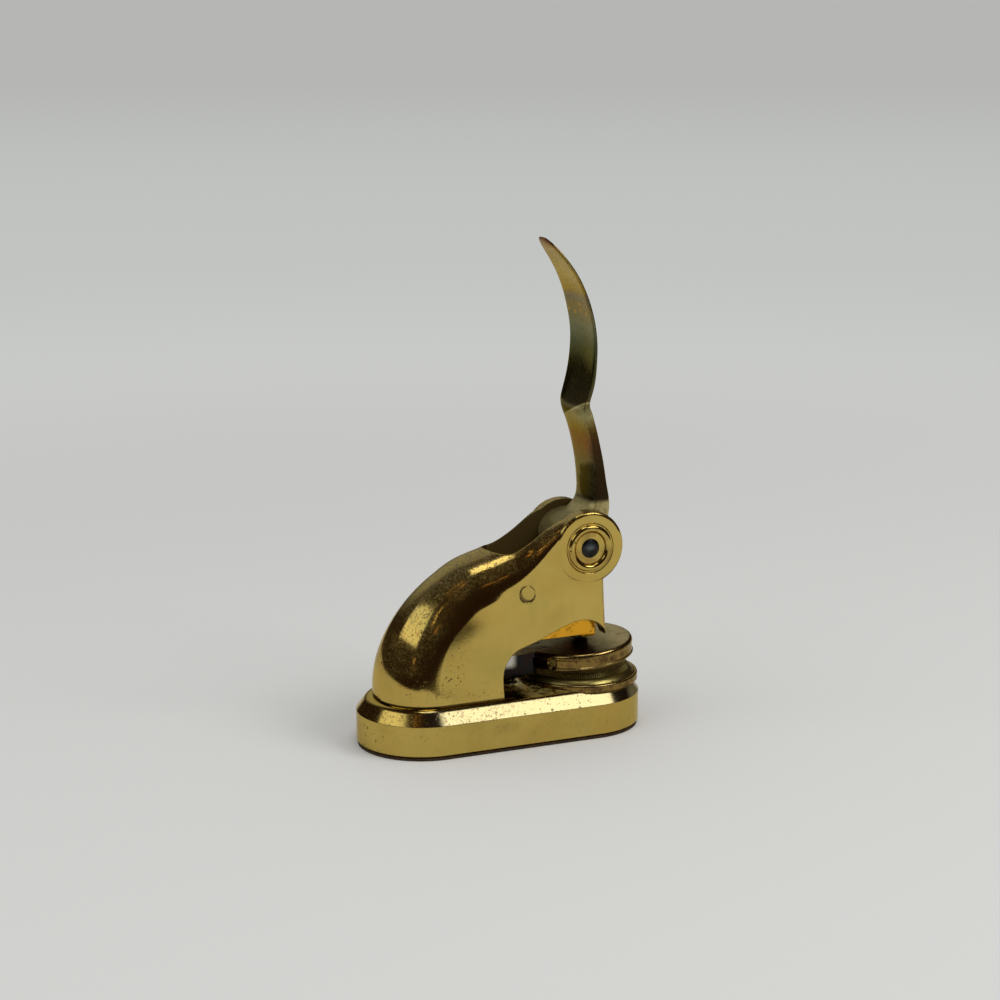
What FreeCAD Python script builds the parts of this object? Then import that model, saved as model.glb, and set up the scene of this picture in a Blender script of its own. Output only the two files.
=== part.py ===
"""Desk seal embosser: cast base and gooseneck body, folding cam lever, ram and hinged die arm.

Millimetres. +X points to the die end, +Z up, origin on the table under the middle of the base.
The lever folds back over the hump; its cam drives the ram down, the ram tips the die arm level.
"""
import FreeCAD, Part
import math
import os
from FreeCAD import Vector

# ---------------------------------------------------------------- base
BASE_LENGTH = 108.3
BASE_WIDTH = 48.0
PAD_THICKNESS = 1.0
PAD_INSET = 0.5
BASE_SIDE_TOP = 12.6        # height where the upright side ends and the bevel begins
BASE_TOP = 18.0
BEVEL_INSET = 2.9           # the flat bevel, below the rounded shoulder
BEVEL_RISE = 4.0
BASE_FOOT_RADIUS = 0.8

# ---------------------------------------------------------------- body
FOOT_HALF_WIDTH = 19.1      # half width of the casting where it meets the base
HEAD_HALF_WIDTH = 14.3      # half width of the cheeks at the ears
CHEEK_UPRIGHT_Z = 56.0      # above this height the cheeks are upright
CHEEK_FLARE = 1.2           # exponent of the outward flare below that height
FAN_X = -5.7                # centre of the fan of sections that shapes the hump
FAN_START = 0.5
SEAM_HEIGHT = 51.4          # of the ridge above the base at the seam, over the fan centre
RIDGE_FLAT = 0.8            # half width left flat along the ridge
SEAM_STEP = 0.8             # distance of the sections that set the slope on both sides of the seam
SEAM_SLOPES = (0.25, -0.05, -0.11)
HEAD_FRONT_X = 35.8
HEAD_EDGE_RADIUS = 2.2
THROAT_X = -6.2             # rear wall of the throat
SLOT_HALF_WIDTH = 9.4       # saddle slot and ram chamber between the cheeks
SLOT_REAR_X = -6.0
SLOT_FLOOR_Z = 60.0
CHAMBER_REAR_X = -0.6
ARCH_POINTS = [(THROAT_X, 18.0), (THROAT_X, 23.0), (-5.6, 28.0), (-4.2, 30.9), (-2.0, 33.3), (0.8, 35.0),
               (5.0, 36.3), (10.0, 37.9), (15.2, 40.0), (20.5, 41.8), (24.3, 42.7), (27.2, 42.8),
               (30.2, 42.2), (32.8, 40.8), (34.6, 38.9), (HEAD_FRONT_X, 36.3)]
CHANNEL_GAP = 0.8
# hump sections, full round: angle from the base line, ridge distance from the centre, depth of rounding
HUMP_SECTIONS = [(180, 42.2, 18.4), (165, 43.1, 17.2), (150, 44.2, 16.6), (135, 46.3, 16.6),
                 (120, 49.0, 16.8), (105, 50.5, 16.0)]
# shoulder sections: station X, top height, rounding across, rounding down; the first is the seam
SHOULDER_SECTIONS = [(FAN_X, BASE_TOP + SEAM_HEIGHT, 13.5, 15.2), (2.0, 71.6, 12.3, 14.0),
                     (9.0, 73.7, 9.0, 10.0), (14.0, 76.3, 6.6, 7.2), (19.0, 78.7, 4.2, 4.7),
                     (24.0, 80.2, 3.2, 3.7), (30.0, 80.4, 2.8, 3.2), (HEAD_FRONT_X, 77.5, 2.8, 3.2)]

# ---------------------------------------------------------------- pivot
PIVOT_X = 29.6
PIVOT_Z = 69.0
EAR_RADIUS = 13.4
EAR_FACE_Y = 14.42
EAR_ROUND = 1.25
PIN_RADIUS = 3.5
PIN_DOME = 0.8
PIN_STAND = 0.1             # of each end proud of the ear, under its dome
BUSH_FLANGE_RADIUS = 9.2
BUSH_FLANGE_DEPTH = 1.0
BUSH_EDGE = 0.2
BUSH_BARREL_RADIUS = 6.2
GROOVE_INNER = 5.7
GROOVE_DEPTH = 0.3
BEAD_INNER = 6.0
BEAD_OUTER = 8.6
BEAD_HEIGHT = 0.95
BUSH_SET_BACK = 0.05

# ---------------------------------------------------------------- lever
HUB_HALF_WIDTH = 9.15
CAM_LOW = 6.4               # pivot to the cam's rest flat
CAM_RISE = 2.35             # rise per radian of fold
CAM_BLEND = 0.6
LEVER_POINTS = 40
NECK_LEVEL_Z = 92.0         # the neck's sections are level below this height
FRONT_SQUARENESS = 0.3      # small is square
RAM_STROKE = 3.5
# lever stations: X, Z, width, thickness, squareness of the rear half, dish of the rear face
LEVER_STATIONS = [(33.0, 70.0, 17.8, 13.2, 0.5, 0.0), (33.3, 73.0, 17.8, 13.6, 0.5, 0.0),
                  (33.5, 76.0, 17.8, 14.0, 0.5, 0.0), (34.0, 78.4, 17.8, 13.5, 0.5, 0.0),
                  (35.2, 80.4, 17.8, 11.3, 0.55, 0.0), (36.3, 82.3, 17.8, 9.2, 0.6, 0.0),
                  (36.8, 84.6, 17.9, 7.8, 0.65, 0.0), (36.7, 88.0, 18.0, 6.8, 0.7, 0.0),
                  (36.3, 91.5, 18.2, 6.0, 0.7, 0.0), (35.4, 98.0, 18.4, 5.4, 0.7, 0.0),
                  (34.2, 104.0, 18.6, 5.1, 0.7, 0.0), (32.7, 110.0, 19.2, 4.9, 0.7, 0.0),
                  (31.5, 114.0, 19.8, 4.8, 0.65, 0.0), (30.3, 117.5, 20.4, 4.6, 0.6, 0.0),
                  (29.8, 120.0, 20.9, 3.5, 0.5, 0.1), (30.2, 122.6, 21.3, 2.7, 0.45, 0.3),
                  (31.2, 126.0, 21.6, 2.6, 0.42, 0.6), (32.1, 130.0, 21.6, 2.4, 0.42, 0.8),
                  (32.8, 135.5, 21.2, 2.1, 0.42, 1.0), (33.1, 141.5, 20.8, 1.9, 0.42, 1.0),
                  (32.7, 147.5, 20.3, 1.8, 0.42, 1.0), (31.5, 153.5, 19.8, 1.8, 0.42, 0.9),
                  (29.7, 159.5, 18.8, 1.7, 0.42, 0.8), (27.1, 165.5, 17.4, 1.7, 0.45, 0.6),
                  (23.8, 171.0, 15.4, 1.6, 0.5, 0.4), (20.2, 175.7, 12.6, 1.5, 0.6, 0.2),
                  (18.0, 178.3, 9.6, 1.4, 0.8, 0.1), (16.6, 179.9, 5.4, 1.1, 0.9, 0.0)]

# ---------------------------------------------------------------- ram
RAM_SIDE_GAP = 0.15
RAM_FRONT_X = 34.6
RAM_BOTTOM_Z = 35.4
RAM_FOOT_DROP = 1.2
RAM_FOOT_LENGTH = 5.4
CAM_PLATE_THICKNESS = 1.2
CAM_PLATE_INSET = 0.3
CAM_PLATE_REACH = 9.0
CAM_GAP = 0.06
SEAT_GAP = 0.03             # between faces that rest on each other
SLOT_SPARE = 0.6
GUIDE_PIN_X = 4.8
GUIDE_PIN_Z = 54.5
GUIDE_PIN_RADIUS = 3.0
SCREW_HEAD_RADIUS = 3.3
SCREW_X = 31.9
DOME_RADIUS = 7.0
SCREW_SHANK_RADIUS = 2.0
SCREW_SHANK_LENGTH = 9.0

# ---------------------------------------------------------------- dies
DIE_X = 31.5
REST_TILT = 4.55            # how far the die arm is tipped up at rest
ARM_PIN_X = -13.5
ARM_PIN_Z = 24.5
ARM_PIN_RADIUS = 2.0
ARM_HALF_WIDTH = 6.0
ARM_WAIST = [(-8.5, 5.9), (-3.0, 4.9), (1.0, 5.15), (5.0, 5.8), (8.0, 6.2)]   # X and half width, level
ARM_SIDE_GAP = 0.4
ARM_EYE_RADIUS = 5.0
UPPER_RADIUS = 20.65
UPPER_BOTTOM = 22.0         # level position, heights above the table
UPPER_TOP = 27.95
UPPER_ROLL = 1.5            # rounding of the holder's top edge
UPPER_WAIST = 0.3           # the rim's side lies this far inside its two edges
UPPER_FOOT_EDGE = 0.2
UPPER_LIP = 0.7
UPPER_WALL = 1.95
UPPER_DIE_RADIUS = UPPER_RADIUS - UPPER_WALL
UPPER_DIE_THICKNESS = 2.2
UPPER_DIE_EDGE = 0.3
DIE_GROOVE_INSET = 1.4
DIE_GROOVE_WIDTH = 1.6
DIE_GROOVE_DEPTH = 0.4
DIE_GAP = 0.15
COUNTER_TOP = 22.9
COUNTER_FLOOR_Z = 18.2
COUNTER_FACE_RADIUS = UPPER_DIE_RADIUS - 0.7
FLUTED_FALL = 1.6           # height of the fluted border
FLUTED_RUN = 0.9
COUNTER_RADIUS = UPPER_RADIUS + 0.3
COUNTER_EDGE_Z = 19.4
COUNTER_BULGE = 0.15
LOWER_RADIUS = COUNTER_RADIUS + 1.35
LOWER_SEAT_Z = 17.0
LOWER_RIM_TOP = 19.6
FLUTES = 72
FLUTE_DEPTH = 0.35
TONGUE_LENGTH = 11.0
TONGUE_THICKNESS = 2.0
ARM_DEPTH = 8.8             # up to the step; shallower beyond it, over the lower holder
ARM_STEP_X = 7.6
ARM_END_DEPTH = 7.6
ARM_ROUND = 1.2
HOLE_ANGLE = -141.5
HOLE_RADIUS = 1.3
HOLE_Z = 24.6
DIMPLE_RADIUS = 2.1
DIMPLE_DEPTH = 0.7
ARM_PIN_NEAR = 11.0
ARM_PIN_FAR = 17.8
ARM_SCREW_X = 16.0
ARM_SCREW_Y = 3.0
ARM_SCREW_RADIUS = 1.1
ARM_SCREW_HEAD = 1.9
ARM_SCREW_SUNK = 1.1
ARM_SCREW_BELOW = 0.1       # of the heads under the holder's top
DRIVER_SLOT_DEPTH = 0.5
DRIVER_SLOT_WIDTH = 0.6

# ---------------------------------------------------------------- spring and screws
SPRING_X = 3.2
SPRING_RADIUS = 2.7
SPRING_WIRE = 0.8
SPRING_TURNS = 6
SPRING_POCKET_RADIUS = 3.6
SPRING_POCKET_DEPTH = 9.0
BODY_SCREWS = [(-36.0, 0.0), (-20.0, 12.0), (-20.0, -12.0)]
BODY_SCREW_RADIUS = 2.4
BODY_SCREW_HEAD = 4.2
BODY_SCREW_TOP = 33.0
HOLDER_SCREW_SPREAD = 9.0
HOLDER_SCREW_RADIUS = 1.6
HOLDER_SCREW_HEAD = 3.0
SCREW_HEAD_DEPTH = 4.0
FIT = 0.05                  # radial clearance of a pin or screw in its hole

Y_AXIS = Vector(0, 1, 0)
Z_AXIS = Vector(0, 0, 1)


def point(x, z, y=0.0):
    return Vector(x, y, z)


def polygon_face(points):
    return Part.Face(Part.makePolygon(points + points[:1]))


def spline_edge(points):
    curve = Part.BSplineCurve()
    curve.interpolate(points)
    return curve.toShape()


def cylinder_y(x, z, radius, y_low, y_high):
    return Part.makeCylinder(radius, y_high - y_low, Vector(x, y_low, z), Y_AXIS)


def cylinder_z(x, y, radius, z_low, z_high):
    return Part.makeCylinder(radius, z_high - z_low, Vector(x, y, z_low), Z_AXIS)


def block(x_low, x_high, y_half, z_low, z_high):
    corner = Vector(x_low, -y_half, z_low)
    return Part.makeBox(x_high - x_low, 2 * y_half, z_high - z_low, corner)


def spin_z(edges, x):
    """Solid of revolution about an upright axis at X; the edges are drawn about X = 0."""
    face = Part.Face(Part.Wire(edges))
    solid = face.revolve(Vector(0, 0, 0), Z_AXIS, 360)
    solid.translate(Vector(x, 0, 0))
    return solid


def lines(points):
    """Straight edges through the points, closed back to the first."""
    ring = points + points[:1]
    return [Part.LineSegment(a, b).toShape() for a, b in zip(ring, ring[1:])]


# ---------------------------------------------------------------- base
def base_profile(axis_point):
    """Edges of the base's half section; axis_point(d, z) places a point d from the centreline."""
    half = BASE_WIDTH / 2
    low = PAD_THICKNESS
    slope = math.hypot(BEVEL_INSET, BEVEL_RISE)
    inward, upward = BEVEL_INSET / slope, BEVEL_RISE / slope
    bevel_z = BASE_SIDE_TOP + BEVEL_RISE
    shoulder = (BASE_TOP - bevel_z) / (1 - inward)
    crest = half - BEVEL_INSET - shoulder * upward
    middle = (math.atan2(inward, upward) + math.pi / 2) / 2
    side = axis_point(half, BASE_SIDE_TOP)
    bevel = axis_point(half - BEVEL_INSET, bevel_z)
    bulge = axis_point(crest + shoulder * math.cos(middle), BASE_TOP - shoulder * (1 - math.sin(middle)))
    top = axis_point(crest, BASE_TOP)
    corners = [axis_point(0, low), axis_point(half - BASE_FOOT_RADIUS, low),
               axis_point(half, low + BASE_FOOT_RADIUS), side, bevel]
    edges = [Part.LineSegment(a, b).toShape() for a, b in zip(corners, corners[1:])]
    edges.append(Part.Arc(bevel, bulge, top).toShape())
    edges.append(Part.LineSegment(top, axis_point(0, BASE_TOP)).toShape())
    edges.append(Part.LineSegment(axis_point(0, BASE_TOP), corners[0]).toShape())
    return edges


def make_base():
    """Straight middle between two turned ends that share one section."""
    run = (BASE_LENGTH - BASE_WIDTH) / 2
    turned = base_profile(lambda d, z: Vector(d, 0, z))
    solid = spin_z(turned, run).fuse(spin_z(turned, -run))
    for side in (1, -1):
        section = base_profile(lambda d, z: Vector(-run, side * d, z))
        half = Part.Face(Part.Wire(section)).extrude(Vector(2 * run, 0, 0))
        solid = solid.fuse(half)
    solid = solid.removeSplitter()
    cuts = [cylinder_z(DIE_X, 0, LOWER_RADIUS + FIT, LOWER_SEAT_Z, BASE_TOP + 1),
            cylinder_z(SPRING_X, 0, SPRING_POCKET_RADIUS, BASE_TOP - SPRING_POCKET_DEPTH, BASE_TOP + 1)]
    for x, y in BODY_SCREWS:
        cuts.append(cylinder_z(x, y, BODY_SCREW_RADIUS + FIT, 0, BASE_TOP + 1))
        cuts.append(cylinder_z(x, y, BODY_SCREW_HEAD + FIT, 0, PAD_THICKNESS + SCREW_HEAD_DEPTH))
    for side in (1, -1):
        x = DIE_X + side * HOLDER_SCREW_SPREAD
        cuts.append(cylinder_z(x, 0, HOLDER_SCREW_RADIUS + FIT, 0, BASE_TOP + 1))
        cuts.append(cylinder_z(x, 0, HOLDER_SCREW_HEAD + FIT, 0, PAD_THICKNESS + SCREW_HEAD_DEPTH))
    return solid.cut(cuts)


def make_pad():
    width = BASE_WIDTH - 2 * PAD_INSET
    run = (BASE_LENGTH - BASE_WIDTH) / 2
    ends = [cylinder_z(side * run, 0, width / 2, 0, PAD_THICKNESS) for side in (1, -1)]
    middle = block(-run, run, width / 2, 0, PAD_THICKNESS)
    return middle.fuse(ends).removeSplitter()


# ---------------------------------------------------------------- body
def cheek_half_width(z):
    """Upright at the ears, flaring out smoothly down to the foot."""
    drop = max(0.0, CHEEK_UPRIGHT_Z - z) / (CHEEK_UPRIGHT_Z - BASE_TOP)
    return HEAD_HALF_WIDTH + (FOOT_HALF_WIDTH - HEAD_HALF_WIDTH) * drop ** CHEEK_FLARE


def body_section(origin, along, reach, depth, across):
    """Closed section: two flared sides joined over the top by a rounded crown.

    origin and along place the section, reach is the ridge's distance from the origin.
    depth is the rounding's size along the section, across its size sideways.
    """
    side_end = reach - depth
    left = []
    for i in range(7):
        spot = origin + along * (FAN_START + (side_end - FAN_START) * i / 6)
        left.append(spot - Y_AXIS * cheek_half_width(spot.z))
    crown = [left[-1]]
    for i in range(1, 11):
        turn = math.radians(9 * i)
        spot = origin + along * (side_end + depth * math.sin(turn))
        half = cheek_half_width(spot.z)
        rounding = min(across, half - RIDGE_FLAT)
        crown.append(spot - Y_AXIS * (half - rounding * (1 - math.cos(turn))))
    over = crown + [origin + along * reach] + mirrored(crown)[::-1]
    right = mirrored(left)[::-1]
    close = Part.LineSegment(right[-1], left[0]).toShape()
    return Part.Wire([spline_edge(left), spline_edge(over), spline_edge(right), close])


def mirrored(points):
    return [Vector(p.x, -p.y, p.z) for p in points]


def seam_values(step):
    """Top height, rounding across and rounding down at a distance from the seam between the two lofts."""
    return [value + slope * step for value, slope in zip(SHOULDER_SECTIONS[0][1:], SEAM_SLOPES)]


def hump_sections():
    """Fan of sections from the rear foot up over the hump to the upright seam."""
    rows = [(angle, reach, FOOT_HALF_WIDTH, depth) for angle, reach, depth in HUMP_SECTIONS]
    for step in (-SEAM_STEP, 0.0):
        top, across, down = seam_values(step)
        rows.append((90 - math.degrees(step / (top - BASE_TOP)), top - BASE_TOP, across, down))
    sections = []
    for angle, reach, across, depth in rows:
        turn = math.radians(angle)
        along = Vector(math.cos(turn), 0, math.sin(turn))
        sections.append(body_section(Vector(FAN_X, 0, BASE_TOP), along, reach, depth, across))
    return sections


def shoulder_sections():
    """Upright sections from the seam out to the head."""
    rows = list(SHOULDER_SECTIONS)
    rows.insert(1, [FAN_X + SEAM_STEP] + seam_values(SEAM_STEP))
    return [body_section(Vector(x, 0, BASE_TOP), Z_AXIS, top - BASE_TOP, down, across)
            for x, top, across, down in rows]


def ear(side):
    """Round pivot ear with a softened outer rim, on one cheek."""
    inner = SLOT_HALF_WIDTH
    disc = cylinder_y(PIVOT_X, PIVOT_Z, EAR_RADIUS, inner, EAR_FACE_Y)
    rim = [e for e in disc.Edges if abs(e.CenterOfMass.y - EAR_FACE_Y) < 0.01 and e.Length > EAR_RADIUS]
    disc = disc.makeFillet(EAR_ROUND, rim)
    return disc if side > 0 else disc.mirror(Vector(0, 0, 0), Y_AXIS)


def arch_cut():
    """Throat between base and head: upright rear wall, arched top, open to the front."""
    top = [point(x, z) for x, z in ARCH_POINTS]
    front = BASE_LENGTH
    low = BASE_TOP - 1
    ring = [point(front, ARCH_POINTS[-1][1]), point(front, low), point(ARCH_POINTS[0][0], low)]
    chain = [top[-1]] + ring + [top[0]]
    edges = [spline_edge(top)]
    edges += [Part.LineSegment(a, b).toShape() for a, b in zip(chain, chain[1:])]
    face = Part.Face(Part.Wire(edges))
    face.translate(Vector(0, -BASE_WIDTH, 0))
    return face.extrude(Vector(0, 2 * BASE_WIDTH, 0))


def saddle_cut():
    """Slot down between the cheeks for the folded lever, and the ram chamber in front of it."""
    top = PIVOT_Z + 2 * EAR_RADIUS
    round_x = SLOT_REAR_X + SLOT_HALF_WIDTH
    rear = cylinder_z(round_x, 0, SLOT_HALF_WIDTH, SLOT_FLOOR_Z, top)
    upper = block(round_x, BASE_LENGTH, SLOT_HALF_WIDTH, SLOT_FLOOR_Z, top)
    chamber = block(CHAMBER_REAR_X, BASE_LENGTH, SLOT_HALF_WIDTH, BASE_TOP + 1, PIVOT_Z - CAM_LOW)
    return rear.fuse([upper, chamber])


def arm_channel():
    """Pocket for the arm's eye, open into the throat."""
    half = ARM_HALF_WIDTH + ARM_SIDE_GAP
    top = ARM_PIN_Z + ARM_EYE_RADIUS + CHANNEL_GAP
    return block(ARM_PIN_X - ARM_EYE_RADIUS - CHANNEL_GAP, ARCH_POINTS[0][0] + 1, half, BASE_TOP - 1, top)


def front_edges(solid):
    """The long edges round the head's flat front."""
    found = []
    for edge in solid.Edges:
        box = edge.BoundBox
        if box.XMin > HEAD_FRONT_X - 0.01 and box.ZMax > BASE_TOP + 1:
            found.append(edge)
    return found


def make_body():
    head = Part.makeLoft(shoulder_sections(), True, False)
    head = head.makeFillet(HEAD_EDGE_RADIUS, front_edges(head))
    hump = Part.makeLoft(hump_sections(), True, False)
    openings = [arch_cut(), saddle_cut(), arm_channel()]
    hump = hump.cut(openings)
    head = head.cut(openings)
    form = head.fuse(hump).fuse([ear(1), ear(-1)])
    cuts = []
    reach = EAR_FACE_Y + 1
    cuts.append(cylinder_y(PIVOT_X, PIVOT_Z, BUSH_BARREL_RADIUS + FIT, -reach, reach))
    for side in (1, -1):
        low, high = sorted((side * (EAR_FACE_Y - BUSH_FLANGE_DEPTH), side * reach))
        cuts.append(cylinder_y(PIVOT_X, PIVOT_Z, BUSH_FLANGE_RADIUS + FIT, low, high))
    cuts.append(cylinder_y(GUIDE_PIN_X, GUIDE_PIN_Z, GUIDE_PIN_RADIUS + FIT, -BASE_WIDTH, BASE_WIDTH))
    cuts.append(cylinder_y(ARM_PIN_X, ARM_PIN_Z, ARM_PIN_RADIUS + FIT, -ARM_PIN_NEAR - FIT, BASE_WIDTH))
    for x, y in BODY_SCREWS:
        cuts.append(cylinder_z(x, y, BODY_SCREW_RADIUS + FIT, BASE_TOP - 1, BODY_SCREW_TOP + FIT))
    return form.cut(cuts)


def make_bush(side):
    """Turned pivot bush: barrel through the ear, sunk flange with a groove and a raised bead round it."""
    inner = SLOT_HALF_WIDTH + BUSH_SET_BACK
    face = EAR_FACE_Y
    seat = face - BUSH_FLANGE_DEPTH
    bore = PIN_RADIUS + FIT
    barrel = BUSH_BARREL_RADIUS
    flange = BUSH_FLANGE_RADIUS
    rows = [(bore, inner), (barrel, inner), (barrel, seat), (flange, seat), (flange, face - BUSH_EDGE),
            (flange - BUSH_EDGE, face), (BEAD_OUTER, face)]
    flat = [Vector(r, 0, y) for r, y in rows]
    edges = [Part.LineSegment(a, b).toShape() for a, b in zip(flat, flat[1:])]
    crest = Vector((BEAD_INNER + BEAD_OUTER) / 2, 0, face + BEAD_HEIGHT)
    edges.append(Part.Arc(flat[-1], crest, Vector(BEAD_INNER, 0, face - GROOVE_DEPTH)).toShape())
    rows = [(BEAD_INNER, face - GROOVE_DEPTH), (GROOVE_INNER, face), (bore, face), (bore, inner)]
    back = [Vector(r, 0, y) for r, y in rows]
    edges += [Part.LineSegment(a, b).toShape() for a, b in zip(back, back[1:])]
    bush = Part.Face(Part.Wire(edges)).revolve(Vector(0, 0, 0), Z_AXIS, 360)
    bush.rotate(Vector(0, 0, 0), Vector(1, 0, 0), -90)
    bush.translate(Vector(PIVOT_X, 0, PIVOT_Z))
    return bush if side > 0 else bush.mirror(Vector(0, 0, 0), Y_AXIS)


def make_lever_pin():
    """Cross pin with low domed ends."""
    half = EAR_FACE_Y + PIN_STAND
    shank = cylinder_y(PIVOT_X, PIVOT_Z, PIN_RADIUS, -half, half)
    ball = (PIN_RADIUS ** 2 + PIN_DOME ** 2) / (2 * PIN_DOME)
    caps = []
    for side in (1, -1):
        centre = Vector(PIVOT_X, side * (half + PIN_DOME - ball), PIVOT_Z)
        low, high = sorted((side * half, side * (half + PIN_DOME + 1)))
        slab = cylinder_y(PIVOT_X, PIVOT_Z, PIN_RADIUS, low, high)
        caps.append(Part.makeSphere(ball, centre).common(slab))
    return shank.fuse(caps)


# ---------------------------------------------------------------- lever
def cam_support(angle):
    """Distance from the pivot to the cam's tangent line; angle 0 is straight down."""
    turn = abs(angle)
    quarter = math.pi / 2
    if turn <= quarter:
        return CAM_LOW + CAM_RISE * turn, CAM_RISE
    share = min(1.0, (turn - quarter) / CAM_BLEND)
    return CAM_LOW + CAM_RISE * (quarter + CAM_BLEND * (share - share ** 2 / 2)), CAM_RISE * (1 - share)


def cam_point(angle, sign):
    """Point of the outline whose outward normal stands at the angle; x forward, z up."""
    reach, slope = cam_support(angle)
    slope *= sign
    x = reach * math.sin(angle) + slope * math.cos(angle)
    z = -reach * math.cos(angle) + slope * math.sin(angle)
    return point(PIVOT_X + x, PIVOT_Z + z)


def cam_hub():
    """Hub with a flat that holds the lever upright and a steadily rising cam on each side."""
    steps = 24
    front = [cam_point(math.pi * i / steps, 1) for i in range(steps + 1)]
    rear = [cam_point(-math.pi * i / steps, -1) for i in range(steps + 1)]
    flat = Part.LineSegment(rear[0], front[0]).toShape()
    edges = [flat, spline_edge(front), spline_edge(rear[::-1])]
    face = Part.Face(Part.Wire(edges))
    face.translate(Vector(0, -HUB_HALF_WIDTH, 0))
    hub = face.extrude(Vector(0, 2 * HUB_HALF_WIDTH, 0))
    return hub


def lever_section(before, here, after, width, thick, square, dish):
    """Section square to the lever's run: crisp front corners, rounded rear ones, dished rear face."""
    run = Vector(after[0] - before[0], 0, after[1] - before[1])
    if here[1] < NECK_LEVEL_Z:
        run = Vector(Z_AXIS)
    run.normalize()
    out = Vector(run.z, 0, -run.x)
    centre = Vector(here[0], 0, here[1])
    points = []
    for i in range(LEVER_POINTS):
        turn = 2 * math.pi * (i + 0.5) / LEVER_POINTS
        c, s = math.cos(turn), math.sin(turn)
        across = math.copysign(abs(c) ** square, c)
        through = math.copysign(abs(s) ** (FRONT_SQUARENESS if s > 0 else square), s)
        bow = dish * (1 - across ** 2)
        points.append(centre + Y_AXIS * (across * width / 2) + out * (through * thick / 2 + bow))
    curve = Part.BSplineCurve()
    curve.interpolate(points, True)
    return Part.Wire([curve.toShape()])


def lever_blade():
    """Neck and handle lofted through the stations."""
    spots = [(row[0], row[1]) for row in LEVER_STATIONS]
    wires = []
    for i, (x, z, width, thick, square, dish) in enumerate(LEVER_STATIONS):
        before = spots[max(0, i - 1)]
        after = spots[min(len(spots) - 1, i + 1)]
        wires.append(lever_section(before, (x, z), after, width, thick, square, dish))
    return Part.makeLoft(wires, True, False)


def make_lever():
    lever = lever_blade().fuse(cam_hub())
    return lever.cut(cylinder_y(PIVOT_X, PIVOT_Z, PIN_RADIUS + FIT, -HUB_HALF_WIDTH - 1, HUB_HALF_WIDTH + 1))


# ---------------------------------------------------------------- ram
def ram_top():
    return PIVOT_Z - CAM_LOW - CAM_GAP - CAM_PLATE_THICKNESS


def make_ram():
    """Sliding block with a vertical slot for the guide pin and a foot over the die."""
    rear = CHAMBER_REAR_X + RAM_SIDE_GAP
    half = SLOT_HALF_WIDTH - RAM_SIDE_GAP
    ram = block(rear, RAM_FRONT_X, half, RAM_BOTTOM_Z, ram_top())
    upright = [e for e in ram.Edges if abs(e.Vertexes[0].Z - e.Vertexes[1].Z) > 1]
    ram = ram.makeChamfer(0.5, upright)
    foot_rear = RAM_FRONT_X - RAM_FOOT_LENGTH
    foot = block(foot_rear, RAM_FRONT_X, half - 1.0, RAM_BOTTOM_Z - RAM_FOOT_DROP, RAM_BOTTOM_Z + 1)
    slot_half = GUIDE_PIN_RADIUS + FIT
    rise = RAM_STROKE + SLOT_SPARE
    low = GUIDE_PIN_Z - SLOT_SPARE
    slot = [cylinder_y(GUIDE_PIN_X, low, slot_half, -BASE_WIDTH, BASE_WIDTH),
            cylinder_y(GUIDE_PIN_X, low + rise + SLOT_SPARE, slot_half, -BASE_WIDTH, BASE_WIDTH),
            block(GUIDE_PIN_X - slot_half, GUIDE_PIN_X + slot_half, BASE_WIDTH, low, low + rise + SLOT_SPARE)]
    bore = cylinder_z(SCREW_X, 0, SCREW_SHANK_RADIUS + FIT, RAM_BOTTOM_Z - 2 * RAM_FOOT_DROP,
                      RAM_BOTTOM_Z + SCREW_SHANK_LENGTH)
    return ram.fuse(foot).cut(slot + [bore])


def make_cam_plate():
    """Hardened wear plate on the ram, under the cam."""
    half = SLOT_HALF_WIDTH - RAM_SIDE_GAP - CAM_PLATE_INSET
    rear = PIVOT_X - CAM_PLATE_REACH
    front = RAM_FRONT_X - CAM_PLATE_INSET
    return block(rear, front, half, ram_top() + SEAT_GAP, ram_top() + CAM_PLATE_THICKNESS)


def make_guide_pin():
    half = cheek_half_width(GUIDE_PIN_Z) - 0.02
    return cylinder_y(GUIDE_PIN_X, GUIDE_PIN_Z, GUIDE_PIN_RADIUS, -half, half)


def holder_top_at_rest(x):
    """Height of the tipped holder's top face above the table at X."""
    tilt = math.radians(REST_TILT)
    return ARM_PIN_Z + (UPPER_TOP - ARM_PIN_Z) / math.cos(tilt) + (x - ARM_PIN_X) * math.tan(tilt)


def make_pressure_screw():
    """Screw with a domed head; the dome bears on the tipped holder."""
    under = RAM_BOTTOM_Z - RAM_FOOT_DROP - SEAT_GAP
    shank = cylinder_z(SCREW_X, 0, SCREW_SHANK_RADIUS, under, RAM_BOTTOM_Z + SCREW_SHANK_LENGTH - 1)
    reach = (DOME_RADIUS + CAM_GAP) / math.cos(math.radians(REST_TILT))
    centre_z = holder_top_at_rest(SCREW_X) + reach
    dome = Part.makeSphere(DOME_RADIUS, Vector(SCREW_X, 0, centre_z))
    head = dome.common(cylinder_z(SCREW_X, 0, SCREW_HEAD_RADIUS, centre_z - 2 * DOME_RADIUS, under))
    return shank.fuse(head)


# ---------------------------------------------------------------- die arm, built level
def tipped(shape):
    """Tip a level part of the arm up to its rest position."""
    shape.rotate(Vector(ARM_PIN_X, 0, ARM_PIN_Z), Y_AXIS, -REST_TILT)
    return shape


def disc_rear():
    return DIE_X - UPPER_RADIUS


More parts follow.
